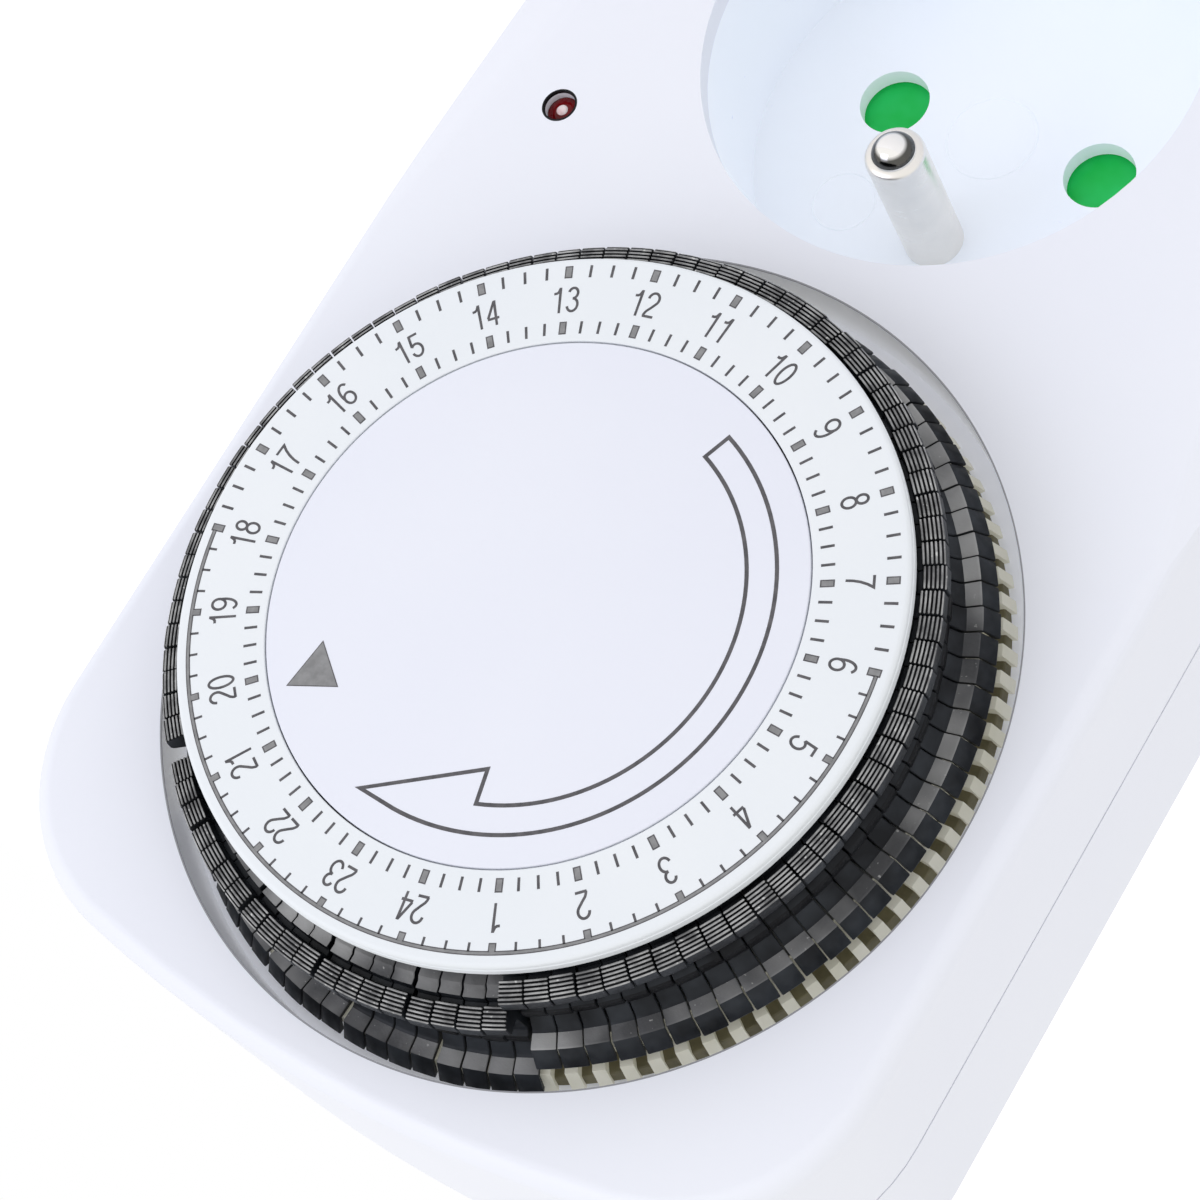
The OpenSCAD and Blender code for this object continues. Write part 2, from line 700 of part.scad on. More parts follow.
module dial_drum() {
    shell_t = 1.6;
    web_d = ring_t + 1.5;
    notch_w = 1.05;
    notch_depth = 1.5;
    tooth_r_low = tooth_r + 0.65;
    bore_r = post_r + run_gap;
    color(CREAM) at_dial() difference() {
        rotate_extrude() polygon([
            dial_point(bore_r, ring_t),
            dial_point(cone_r(ring_t), ring_t),
            dial_point(cone_r(tooth_top_d), tooth_top_d),
            dial_point(tooth_r, tooth_top_d),
            dial_point(tooth_r_low, tooth_bottom_d),
            dial_point(cone_r(tooth_bottom_d) - shell_t, tooth_bottom_d),
            dial_point(cone_r(web_d) - shell_t, web_d),
            dial_point(hub_r, web_d),
            [hub_r, dial_gear_z - dial_gear_t],
            [bore_r, dial_gear_z - dial_gear_t]
        ]);
        for (i = [0:QUARTERS - 1]) rotate([0, 0, 90 + dial_turn + (i + 0.5) * QUARTER])
            block([tooth_r - notch_depth, -notch_w / 2, dial_rise - tooth_bottom_d - 1],
                  [tooth_r + 3, notch_w / 2, dial_rise - tooth_top_d + 1]);
    }
}

module dial_gear() {
    color(CREAM) difference() {
        gear(dial_teeth, 0, dial_gear_z - dial_gear_t, dial_gear_z, dial_c);
        drum(hub_r, dial_gear_z - dial_gear_t - 1, dial_gear_z + 1, dial_c);
    }
}

// Section of one raised segment: grip face, bead, ledge and skirt, with the cone inside
module segment_section() {
    polygon([
        dial_point(cone_r(segment_top_d) + slide_gap, segment_top_d),
        dial_point(ring_r - 0.2, segment_top_d),
        dial_point(ring_r + 1, 4.1),
        dial_point(ring_r + 0.95, 4.45),
        dial_point(ring_r + 0.15, 4.6),
        dial_point(ring_r + 0.15, 5.7),
        dial_point(ring_r + 0.6, 6),
        dial_point(ring_r + 0.6, 7.6),
        dial_point(ring_r + 0.3, 8),
        dial_point(ring_r + 0.5, ledge_d - 0.1),
        dial_point(ring_r + 2.95, ledge_d),
        dial_point(skirt_r, skirt_d),
        dial_point(skirt_r - 0.6, skirt_d),
        dial_point(ring_r + 2.4, ledge_under_d),
        dial_point(cone_r(ledge_under_d) + slide_gap, ledge_under_d)
    ]);
}

// Segments from one quarter hour to the next, pushed down along the block's own middle
module segments(first, count, pushed) {
    gap_angle = 2 * asin(segment_gap / 2 / ring_r);
    middle = 90 + dial_turn + (first + count / 2) * QUARTER;
    shift = pushed ? [push_out * cos(middle), push_out * sin(middle), -push_down] : [0, 0, 0];
    color(DARK) at_dial() translate(shift) for (i = [first:first + count - 1])
        rotate([0, 0, 90 + dial_turn + i * QUARTER + gap_angle / 2])
            rotate_extrude(angle = QUARTER - gap_angle) segment_section();
}

function is_pushed(i) = (i - first_pushed + QUARTERS) % QUARTERS < pushed_count;

module hour_segments(h) {
    raised_left = h == SPLIT_HOUR ? first_pushed - 4 * h : 4;
    segments(4 * h, raised_left, is_pushed(4 * h));
}

module split_segments() {
    segments(first_pushed, 4 * (SPLIT_HOUR + 1) - first_pushed, true);
}

// ---- drive ---------------------------------------------------------------------

module gear_third() { compound_gear(third_c, third_phase, wheel_1_z); }
module gear_second() { compound_gear(second_c, second_phase, wheel_2_z); }
module gear_first() { compound_gear(first_c, first_phase, wheel_3_z); }

module gear_axles() {
    color(STEEL) for (c = [third_c, second_c, first_c])
        drum(axle_r, plate_z - plate_t, axle_top_z, c);
}

// Plate from pillar to pillar, which leaves room for the switch on its right
module gear_plate() {
    edge = pillar_r + 0.4;
    switch_x = pivot_c[0] - switch_size[0] / 2 - 2;
    color(STEEL) difference() {
        translate([0, 0, plate_z - plate_t]) linear_extrude(plate_t) polygon([
            pillars[1] + [-edge, -edge],
            pillars[0] + [edge, -edge],
            [switch_x, pivot_c[1]],
            [switch_x, pillars[2][1] - 2 * edge],
            pillars[2] + [pillar_r, -edge],
            pillars[2] + [pillar_r, 2],
            first_c + [-edge, pillars[2][1] + 2 - first_c[1]],
            second_c + [-edge - 1, edge]
        ]);
        for (c = [third_c, second_c, first_c]) drum(axle_r, plate_z - 5, plate_z + 5, c);
        drum(post_end_r, plate_z - 5, plate_z + 5, dial_c);
        drum(2, plate_z - 5, plate_z + 5, motor_c);
        for (p = pillars) drum(pillar_hole_r + 0.3, plate_z - 5, plate_z + 5, p);
    }
}

module plate_screws() {
    color(STEEL) for (p = pillars) {
        drum(pillar_hole_r, plate_z - plate_t, plate_z + 4.5, p);
        drum(1.9, plate_z - plate_t - 1.2, plate_z - plate_t, p);
    }
}

module motor_can() {
    color([0.7, 0.7, 0.72]) difference() {
        drum(motor_r, motor_top_z - motor_h, motor_top_z, motor_c);
        drum(0.85, motor_top_z - motor_h + 1, motor_top_z + 1, motor_c);
    }
}

module motor_pinion() {
    shaft_r = 0.8;
    color(BRASS) {
        drum(shaft_r, motor_top_z - motor_h + 1.2, wheel_3_z + 0.2, motor_c);
        gear(motor_teeth, motor_phase, wheel_3_z - wheel_t - 0.3, wheel_3_z + 0.2, motor_c);
    }
}

// ---- switching -----------------------------------------------------------------

module switch_body() {
    low_x = pivot_c[0] - switch_size[0] / 2;
    low_y = pivot_c[1] - 2.4;
    color([0.15, 0.15, 0.17]) difference() {
        block([low_x, low_y, switch_top_z - switch_size[2]],
              [low_x + switch_size[0], low_y + switch_size[1], switch_top_z]);
        drum(button_r + run_gap, switch_top_z - 3, switch_top_z + 1, [pivot_c[0], button_y]);
    }
}

module switch_button() {
    color([0.8, 0.1, 0.1])
        drum(button_r, switch_top_z - 2, lever_z - lever_t - 0.05, [pivot_c[0], button_y]);
}

module feeler_lever() {
    lever_w = 3;
    color(WHITE) {
        difference() {
            block([pivot_c[0] - lever_w / 2, pivot_c[1] - 1.2, lever_z - lever_t],
                  [pivot_c[0] + lever_w / 2, feeler_c[1] + 1.2, lever_z]);
            translate([pivot_c[0] - 5, pivot_c[1], lever_z - lever_t / 2]) rotate([0, 90, 0])
                cylinder(r = 0.3, h = 10);
        }
        translate([pivot_c[0] - 3, pivot_c[1], lever_z - lever_t / 2]) rotate([0, 90, 0])
            cylinder(r = lever_pivot_r, h = 6);
        translate([0, dial_y, 0]) rotate([0, 0, feeler_turn])
            block([-0.55, feeler_r - 0.35, lever_z - EPS],
                  [0.55, feeler_r + 0.35, dial_rise - feeler_tip_d]);
    }
}

module manual_slider() {
    knob_out = 1.6;
    inner_x = half_w - wall - 0.3;
    color(DARK) {
        block([inner_x - 1.2, slider_c[1] - slider_l / 2 - 3, slider_z - 3],
              [inner_x, slider_c[1] + slider_l / 2 + 3, slider_z + 3]);
        difference() {
            block([inner_x - EPS, slider_c[1] - slider_l / 2, slider_z - slider_h / 2],
                  [half_w + knob_out, slider_c[1] + slider_l / 2, slider_z + slider_h / 2]);
            for (i = [-1:1]) block(
                [half_w + knob_out - 0.4, slider_c[1] + i * 1.6 - 0.3, slider_z - slider_h],
                [half_w + knob_out + 1, slider_c[1] + i * 1.6 + 0.3, slider_z + slider_h]);
        }
    }
}

// ---- the part ------------------------------------------------------------------

placed() {
    front_shell();
    rear_shell();
    housing_screws();
    socket_cup();
    earth_pin();
    shutter();
    shutter_spring();
    contact(pin_xs[1]);  // line_contact
    contact(pin_xs[0]);  // neutral_contact
    plug_pin(pin_xs[1]);  // line_plug_pin
    plug_pin(pin_xs[0]);  // neutral_plug_pin
    earth_strip();
    line_feed_bar();
    switched_line_bar();
    neutral_bar();
    lamp_lens();
    lamp_board();
    centre_disc();
    centre_post();
    number_ring();
    dial_drum();
    dial_gear();
    gear_third();
    gear_second();
    gear_first();
    gear_axles();
    gear_plate();
    plate_screws();
    motor_can();
    motor_pinion();
    switch_body();
    switch_button();
    feeler_lever();
    manual_slider();
    for (h = HOURS)
        hour_segments(h);
    split_segments();
}
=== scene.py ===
# %% [markdown]
# # A plug-in timer switch, finished in cells
# The part comes in as a fixed frame of plain solids: a two-part housing, a socket with an earth
# pin, a plug behind it, and a day dial with 96 push-down segments. Each cell below makes one
# piece or one finish better than the plain solid, without changing where anything is or how big
# it is. The scene is in metres; most sizes are written in millimetres and scaled once.

# %% Load the frame
import bpy
import bmesh
import json
import math
import numpy as np
from mathutils import Matrix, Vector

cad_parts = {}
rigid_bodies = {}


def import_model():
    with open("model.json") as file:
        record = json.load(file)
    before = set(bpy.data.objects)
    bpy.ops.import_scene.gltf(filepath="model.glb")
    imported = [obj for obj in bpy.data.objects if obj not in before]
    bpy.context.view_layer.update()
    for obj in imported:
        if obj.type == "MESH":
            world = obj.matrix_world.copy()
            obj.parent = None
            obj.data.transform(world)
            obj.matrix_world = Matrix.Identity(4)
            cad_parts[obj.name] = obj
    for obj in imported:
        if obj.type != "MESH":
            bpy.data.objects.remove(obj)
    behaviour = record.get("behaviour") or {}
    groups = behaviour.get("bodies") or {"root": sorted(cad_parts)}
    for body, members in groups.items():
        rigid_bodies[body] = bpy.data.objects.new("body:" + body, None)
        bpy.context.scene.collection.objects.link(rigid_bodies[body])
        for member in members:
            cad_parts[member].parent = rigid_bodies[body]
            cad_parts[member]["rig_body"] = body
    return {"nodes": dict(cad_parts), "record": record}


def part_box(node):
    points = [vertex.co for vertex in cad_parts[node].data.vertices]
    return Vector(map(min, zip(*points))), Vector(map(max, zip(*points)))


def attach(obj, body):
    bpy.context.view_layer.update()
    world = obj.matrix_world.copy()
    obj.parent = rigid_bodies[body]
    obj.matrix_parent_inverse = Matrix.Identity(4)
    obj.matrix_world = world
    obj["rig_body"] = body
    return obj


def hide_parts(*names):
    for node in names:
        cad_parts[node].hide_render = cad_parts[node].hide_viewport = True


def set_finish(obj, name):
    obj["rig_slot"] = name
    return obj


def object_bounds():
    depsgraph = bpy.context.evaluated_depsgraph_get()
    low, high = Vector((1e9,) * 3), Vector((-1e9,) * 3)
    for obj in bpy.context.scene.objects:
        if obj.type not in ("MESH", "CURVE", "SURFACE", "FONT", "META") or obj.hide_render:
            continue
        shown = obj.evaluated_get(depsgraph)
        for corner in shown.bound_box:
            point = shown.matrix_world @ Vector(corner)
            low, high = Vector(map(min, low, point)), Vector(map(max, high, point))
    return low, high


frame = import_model()
cad_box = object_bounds()
MM = 0.001

# %% [markdown]
# ## The camera
# The photograph looks at the face from the side of the dial end, with the socket end up, so the
# part stands on its head in the picture. The camera's place and turn were worked out once from
# the dial's tick rings and the housing's edges. Three column vectors say where its right, its up
# and its back point, which is plainer than three angles.

# %% The camera at the photograph's angle


def add_object(name, data):
    """A new object at the origin that shows this data, linked into the scene."""
    thing = bpy.data.objects.new(name, data)
    bpy.context.scene.collection.objects.link(thing)
    return thing


camera_data = bpy.data.cameras.new("photo_camera")
camera_data.lens = 105.0176
camera_data.sensor_width = 36.0
camera_data.clip_start, camera_data.clip_end = 0.01, 20.0
camera = add_object("photo_camera", camera_data)
camera_place = (-0.118434, -0.259653, 0.106449)
camera_axes = Matrix((
    (-0.8033773, 0.3682728, -0.4679316),
    (0.3110742, -0.4105103, -0.8571547),
    (-0.5077575, -0.8341801, 0.2152345)))
camera.matrix_world = Matrix.Translation(camera_place) @ camera_axes.to_4x4()
bpy.context.scene.camera = camera
bpy.context.scene.view_settings.view_transform = "Standard"
print("camera at", [round(v, 3) for v in camera.location])

# %% [markdown]
# ## Where the dial is
# Everything printed or pressed on the dial is placed by a radius, an angle and a depth below the
# dial's flat top. The frame says where that top is: the fixed disc in the middle ends there. The
# hours run anticlockwise, and the 24 o'clock mark stands a little left of straight up.

# %% The dial's own coordinates


def in_mm(corners):
    """The lowest and highest corner of a box as arrays in millimetres."""
    return [np.array(corner) / MM for corner in corners]


disc_low, disc_high = in_mm(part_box("centre_disc"))
ring_low, ring_high = in_mm(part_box("number_ring"))
AXIS_X = (ring_low[0] + ring_high[0]) / 2
AXIS_Z = (ring_low[2] + ring_high[2]) / 2
TOP_Y = disc_low[1]
RING_R = (ring_high[0] - ring_low[0]) / 2
DISC_R = (disc_high[0] - disc_low[0]) / 2
DIAL_TURN = 11.5
QUARTER = 360 / 96


def on_dial(radius, degrees, depth):
    """Points x = axis + r cos(a), z = axis + r sin(a), y = top + depth, as one array in mm."""
    radius, turn, depth = np.broadcast_arrays(radius, np.radians(degrees), depth)
    return np.stack((AXIS_X + radius * np.cos(turn), TOP_Y + depth,
                     AXIS_Z + radius * np.sin(turn)), axis=-1)


def quarter_angle(quarter):
    """Angle of a quarter hour counted from midnight: 90 + turn + 3.75 for each quarter."""
    return 90 + DIAL_TURN + QUARTER * quarter


print("dial axis", round(AXIS_X, 3), round(AXIS_Z, 3), "top", round(TOP_Y, 2), "ring", round(RING_R, 2))

# %% [markdown]
# ## From arrays to a piece
# Every new shape below is an array of points and an array of faces. One helper puts them into a
# mesh. It measures the closed shape's volume, the sum of a x b . c over its triangles divided by
# six, and turns every face round when that sum is negative, so that faces always point outwards.

# %% Helpers that turn arrays into pieces
pieces_made = {}
zones_of_piece = {}


def grid_quads(rows, columns, wrap_rows=False, wrap_columns=False):
    """Faces of a grid of points numbered row by row: corners (i,j), (i,j+1), (i+1,j+1), (i+1,j)."""
    i = np.arange(rows if wrap_rows else rows - 1)[:, None]
    j = np.arange(columns if wrap_columns else columns - 1)[None, :]
    i2, j2 = (i + 1) % rows, (j + 1) % columns
    corners = (i * columns + j, i * columns + j2, i2 * columns + j2, i2 * columns + j)
    return np.stack([np.broadcast_to(c, (i.size, j.size)) for c in corners], -1).reshape(-1, 4)


def signed_volume(points, faces):
    """Sum over fans of triangles of (a x b) . c / 6; positive where faces point outwards."""
    total = 0.0
    for size in {len(f) for f in faces}:
        corners = points[np.array([f for f in faces if len(f) == size])]
        for k in range(1, size - 1):
            total += np.einsum("ij,ij->", np.cross(corners[:, 0], corners[:, k]), corners[:, k + 1]) / 6
    return total


def merge_points(mesh, distance, melt=False):
    """Merges points closer than the distance; melt also joins the slivers inside each flat face."""
    shell = bmesh.new()
    shell.from_mesh(mesh)
    bmesh.ops.remove_doubles(shell, verts=shell.verts, dist=distance)
    if melt:
        bmesh.ops.dissolve_limit(shell, angle_limit=math.radians(0.4), verts=shell.verts,
                                 edges=shell.edges, use_dissolve_boundaries=False)
    shell.to_mesh(mesh)
    shell.free()


def smooth_below(mesh, angle):
    """Smooth shading, kept crisp at edges sharper than the angle."""
    mesh.shade_smooth()
    mesh.set_sharp_from_angle(angle=math.radians(angle))


def make_piece(name, points, faces, body, slot, zones=None, sharp=35, replaces=(), merge=False):
    """Puts points (mm) and faces into a mesh that rides on a body; zones give each face its finish."""
    faces = [tuple(int(v) for v in f) for f in faces]
    if signed_volume(points, faces) < 0:
        faces = [f[::-1] for f in faces]
    mesh = bpy.data.meshes.new(name)
    mesh.from_pydata((points * MM).tolist(), [], faces)
    if merge:
        merge_points(mesh, 1e-7)
    if zones is not None:
        zones_of_piece[name] = np.asarray(zones, np.int32)
    smooth_below(mesh, sharp)
    mesh.update()
    piece = add_object(name, mesh)
    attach(piece, body)
    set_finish(piece, slot)
    if replaces:
        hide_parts(*replaces)
    pieces_made[name] = piece
    return piece


print("a grid of 3 by 3 points has", len(grid_quads(3, 3)), "faces")

# %% [markdown]
# ## Turned pieces
# The number ring, the disc, the lens and the earth pin are all round, so each is a profile of
# radius and depth turned about an axis. A profile that closes on itself makes a ring. One that
# starts and ends on the axis makes a solid, and its doubled points there are merged to a pole.

# %% Turned pieces as a profile times a circle


def turned(name, profile, body, slot, centre=None, steps=192, closed=True, replaces=(), sharp=35):
    """Surface P(u, v): profile point u = (radius, depth) turned by angle v about the piece's axis."""
    profile = np.asarray(profile, float)
    angles = np.arange(steps) * 360 / steps
    points = on_dial(profile[:, 0], angles[:, None], profile[:, 1])
    if centre is not None:
        points = points + np.array(centre) - np.array((AXIS_X, TOP_Y, AXIS_Z))
    quads = grid_quads(steps, len(profile), True, closed)
    return make_piece(name, points.reshape(-1, 3), quads, body, slot, sharp=sharp,
                      replaces=replaces, merge=not closed)


def arc(centre, radius, start, end, count):
    """Points centre + radius (cos a, sin a) from one angle to another; two radii make an ellipse."""
    turn = np.radians(np.linspace(start, end, count))
    return np.array(centre) + np.array(radius) * np.stack((np.cos(turn), np.sin(turn)), -1)


# number ring: flat printed band, a rounded shoulder, a fine step and a short wall below it
RING_THICK = 1.2
ring_in = DISC_R + 0.12
rim = RING_R - 0.35
ring_profile = np.concatenate((
    [[ring_in, RING_THICK], [ring_in, 0.06], [ring_in + 0.06, 0.0]],
    arc((rim - 0.42, 0.36), 0.36, 270, 352, 9),
    [[rim - 0.05, 0.62], [rim, 0.66], [rim, 1.26], [rim - 0.08, 1.36], [rim - 0.6, 1.36],
     [rim - 0.7, RING_THICK]]))
turned("number_ring_turned", ring_profile, "dial", "ring_white", replaces=("number_ring",))

# fixed disc: slightly eased edge, with the short spigot that holds it in the post
disc_profile = np.concatenate((
    [[0, 0], [DISC_R - 0.12, 0]], arc((DISC_R - 0.12, 0.12), 0.12, 270, 360, 5),
    [[DISC_R, 1.0], [1.4, 1.0], [1.4, 6.0], [0, 6.0]]))
turned("centre_disc_turned", disc_profile, "housing", "disc_white", closed=False,
       replaces=("centre_disc",))

# the drum's teeth stand on a low foot, which closes the notches between them from below; its olive colour
# is painted shade in the notches
drum_low, drum_high = in_mm(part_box("dial_drum"))
tooth_r = (drum_high[0] - drum_low[0]) / 2
TOOTH_TOP = 12.2
foot_profile = np.array(((-2.3, 0.9), (-0.72, 0.9), (-0.62, 0.98), (-0.4, 1.85), (-2.3, 1.85)))
drum_foot = turned("drum_notch_floor", foot_profile + (tooth_r, TOOTH_TOP), "dial", "drum_cream")
print("turned", list(pieces_made), "tooth radius", round(tooth_r, 2))

# %% [markdown]
# ## The segments
# Each quarter hour has a black plastic segment that slides on the drum's cone. Its outer side is
# what the eye sees most: a groove next to the ring, five fine grip ribs, a smooth front, an
# undercut, a bead, a rough flat ledge and a smooth skirt. A plain block would show none of that,
# so the section is drawn once as a closed profile, by the radius beyond the ring's edge and the
# depth below the dial's top. The letters beside each part give the finish of the strip from each
# point to the next: g for grip, l for ledge, s for skirt and c for the crest of a rib, whose
# lighter colour is a painted highlight.

# %% The segment's section
ZONES = "glsc"


def rib_points(start, end, count, height):
    """Points of a row of ribs along a line: for each, out of the groove, over a crest, back in."""
    start, end = np.array(start), np.array(end)
    along = (end - start) / count
    outward = np.array((along[1], -along[0])) / np.linalg.norm(along)
    shares = np.array((0.04, 0.24, 0.36, 0.62, 0.74, 0.94))
    heights = np.array((0.0, 0.8, 1.0, 1.0, 0.8, 0.0)) * height
    base = start + (np.arange(count)[:, None, None] + shares[None, :, None]) * along
    return (base + heights[None, :, None] * outward).reshape(-1, 2)


section_parts = {
    "top": ("lllsss", [(-3.1, 1.32), (-1.5, 1.34), (-1.2, 1.6), (-0.66, 1.62), (-0.56, 2.3),
                       (-0.22, 2.34)]),
    "grip": ("gcccgg" * 5, rib_points((-0.1, 1.68), (1.38, 1.86), 5, 0.15)),
    "lip": ("csggg", [(1.45, 1.84), (1.54, 1.93), (1.6, 2.85), (1.52, 3.05), (1.3, 3.2)]),
    "under": ("ssss", [(0.35, 3.6), (0.2, 3.8), (0.12, 5.6), (0.2, 5.95)]),
    "bead": ("gggg", [(0.62, 6.15), (0.72, 6.3), (0.7, 7.1), (0.6, 7.24)]),
    "neck": ("sssl", [(0.27, 7.42), (0.25, 7.6), (1.05, 8.7), (1.33, 8.84)]),
    "ledge": ("ls", [(2.38, 8.84), (2.52, 8.9)]),
    "skirt": ("sss", [(3.42, 10.36), (3.4, 10.49), (2.9, 10.49)]),
    "inside": ("sss", [(2.42, 9.3), (2.2, 9.3), (-0.19, 9.3)]),
}
section = np.concatenate([points for letters, points in section_parts.values()]) + (RING_R, 0.0)
section_zone = [ZONES.index(c) for letters, points in section_parts.values() for c in letters]


def drawn_in(polygon, amount):
    """The polygon moved inwards along the mean of the normals of the two edges at each corner."""
    before, after = np.roll(polygon, 1, 0), np.roll(polygon, -1, 0)
    edge_in, edge_out = polygon - before, after - polygon
    normals = [np.stack((-e[:, 1], e[:, 0]), -1) / np.linalg.norm(e, axis=1)[:, None]
               for e in (edge_in, edge_out)]
    mean = normals[0] + normals[1]
    area = 0.5 * np.sum(before[:, 0] * polygon[:, 1] - polygon[:, 0] * before[:, 1])
    mean /= np.maximum(np.linalg.norm(mean, axis=1), 0.6)[:, None]
    return polygon + np.sign(area) * amount * mean


section_small = drawn_in(section, 0.055)
print("section of", len(section), "points in", len(section_parts), "parts")

# %% [markdown]
# ## Rows of segments
# Every segment is the section swept over its own few degrees, with its corners drawn in at both
# ends for the soft bevel that catches the light. The hours come as blocks of four, because that
# is how the frame moves them, and the hour in which the pushed run begins is made in two pieces.
# A small seeded shift makes the row as uneven as a used one.

# %% One piece for each hour's segments
CONE = math.tan(math.radians(20))
PUSH_DOWN, FIRST_PUSHED, PUSHED = 2.75, 81, 19
SEGMENT_GAP, BEVEL_ALONG = 0.13, 0.06
shake = np.random.default_rng(24)
quarter_shake = shake.normal(0, 1, (96, 3)) * np.array((0.045, 0.07, 0.03))
quarter_shake[:, 1] = np.abs(quarter_shake[:, 1])
quarter_shake = np.clip(quarter_shake, -0.06, 0.11)


def segment_row(name, first, count):
    """P(s, u): section point u turned to station s of each segment, moved by its push and shake."""
    quarters = first + np.arange(count)
    out, down, along = quarter_shake[quarters % 96].T
    gap, edge = (math.degrees(length / RING_R) for length in (SEGMENT_GAP, BEVEL_ALONG))
    width = QUARTER - gap
    stations = (quarter_angle(quarters) + gap / 2 + along)[:, None] + np.array(
        (0.0, edge, width / 2, width - edge, width))
    shape = np.stack((section_small, section, section, section, section_small))
    points = on_dial(shape[..., 0] + out[:, None, None], stations[:, :, None],
                     shape[..., 1] + down[:, None, None])
    if (first - FIRST_PUSHED) % 96 < PUSHED:
        middle = math.radians(quarter_angle(first + count / 2))
        slide = PUSH_DOWN * CONE
        points = points + np.array((slide * math.cos(middle), PUSH_DOWN, slide * math.sin(middle)))
    rings, around = shape.shape[:2]
    starts = rings * around * np.arange(count)
    quads = (grid_quads(rings, around, False, True)[None] + starts[:, None, None]).reshape(-1, 4)
    ends = (np.arange(around)[::-1], np.arange(around) + (rings - 1) * around)
    caps = [end + start for start in starts for end in ends]
    zones = section_zone * ((rings - 1) * count) + [ZONES.index("s")] * len(caps)
    return make_piece(name + "_ribbed", points.reshape(-1, 3), [*quads, *caps], name,
                      "segment_black", zones=zones, sharp=40, replaces=(name,))


segment_pieces = []
for hour in range(24):
    node = f"segments_{hour:02d}h"
    if hour == FIRST_PUSHED // 4:
        raised = FIRST_PUSHED - 4 * hour
        segment_pieces.append(segment_row(node, 4 * hour, raised))
        segment_pieces.append(segment_row(node + "_pushed", FIRST_PUSHED, 4 - raised))
    else:
        segment_pieces.append(segment_row(node, 4 * hour, 4))
print("segment pieces", len(segment_pieces), "faces", sum(len(p.data.polygons) for p in segment_pieces))

# %% [markdown]
# ## The print on the dial
# The print is ink, a hundredth of a millimetre thick. It could be a painted texture, but thin
# closed shapes stay sharp at any distance and move with the ring. Ticks and marks are flat bars
# laid along a radius, and a band is a flat strip laid along an arc. All of them start a hair
# below the surface that carries them.

# %% Bars and bands of ink
INK, INK_SUNK = 0.012, 0.004


def bars(quarters, inner, outer, width, height=INK):
    """Box corners (side, along, up) scaled to width, radius and ink, then turned to each angle."""
    turn = np.radians(quarter_angle(quarters))[:, None]
    side = np.array((-1, 1, 1, -1, -1, 1, 1, -1)) * width / 2
    along = np.array((inner, inner, outer, outer) * 2)
    up = np.repeat((INK_SUNK, -height), 4)
    x = AXIS_X + along * np.cos(turn) - side * np.sin(turn)
    z = AXIS_Z + along * np.sin(turn) + side * np.cos(turn)
    points = np.stack((x, np.broadcast_to(TOP_Y + up, x.shape), z), -1).reshape(-1, 3)
    box = np.array(((0, 1, 2, 3), (7, 6, 5, 4), (0, 4, 5, 1), (1, 5, 6, 2), (2, 6, 7, 3), (3, 7, 4, 0)))
    faces = (box[None] + 8 * np.arange(len(turn))[:, None, None]).reshape(-1, 4)
    return points, faces


def band(start, end, inner, outer, height=INK, steps=220):
    """A flat curved strip: four corners of its section carried along the arc, with both ends shut."""
    corners = np.array(((inner, INK_SUNK), (outer, INK_SUNK), (outer, -height), (inner, -height)))
    angles = np.linspace(start, end, steps)
    points = on_dial(corners[:, 0], angles[:, None], corners[:, 1]).reshape(-1, 3)
    ends = np.array(((0, 1, 2, 3), (4 * steps - 1, 4 * steps - 2, 4 * steps - 3, 4 * steps - 4)))
    return points, np.concatenate((grid_quads(steps, 4, False, True), ends))


def together(*shapes):
    """Joins several (points, faces) into one, each face moved on by the points before it."""
    points, faces, count = [], [], 0
    for shape_points, shape_faces in shapes:
        points.append(shape_points)
        faces.append(np.asarray(shape_faces) + count)
        count += len(shape_points)
    return np.concatenate(points), np.concatenate(faces)


print("one bar has", len(bars(np.arange(1), 1, 2, 1)[1]), "faces")

# %% [markdown]
# ## Ticks, hour marks and the night arc
# Two rings of ticks stand on the number ring. From 18 to 6 o'clock the outer ticks are shorter
# and hang on a dark arc, which marks the night. The arc and the wide hour marks have a dark edge
# and a greyer fill, so the fill is a second print that stands a little higher.

# %% The ticks and their fill
OUT_R, IN_R = 26.0, 21.37
FILL = INK * 1.5
quarters = np.arange(96)
is_hour = quarters % 4 == 0
in_night = (quarters >= 72) | (quarters <= 24)
night_end = np.isin(quarters, (72, 24))
plain = quarters[~is_hour & ~in_night]
night = quarters[~is_hour & in_night]
marks = quarters[is_hour & (~in_night | night_end)]
night_marks = quarters[is_hour & in_night & ~night_end]
dark_print = together(
    bars(plain, OUT_R - 0.5, OUT_R + 0.5, 0.21),
    bars(night, OUT_R - 0.54, OUT_R + 0.12, 0.18),
    bars(quarters[~is_hour], IN_R - 0.5, IN_R + 0.5, 0.2),
    bars(marks, OUT_R - 0.5, OUT_R + 0.5, 0.6),
    bars(night_marks, OUT_R - 0.54, OUT_R + 0.12, 0.56),
    bars(quarters[is_hour], IN_R - 0.52, IN_R + 0.52, 0.56),
    band(quarter_angle(72.1), quarter_angle(119.9), OUT_R + 0.03, OUT_R + 0.36))
grey_print = together(
    bars(marks, OUT_R - 0.4, OUT_R + 0.4, 0.42, FILL),
    bars(night_marks, OUT_R - 0.44, OUT_R + 0.1, 0.4, FILL),
    bars(quarters[is_hour], IN_R - 0.42, IN_R + 0.42, 0.38, FILL),
    band(quarter_angle(72.15), quarter_angle(119.85), OUT_R + 0.11, OUT_R + 0.29, FILL))
tick_print = make_piece("dial_tick_print", *dark_print, "dial", "ring_white", sharp=20)
tick_fill = make_piece("dial_mark_fill", *grey_print, "dial", "ring_white", sharp=20)
print("tick print of", len(dark_print[1]), "faces, fill of", len(grey_print[1]))

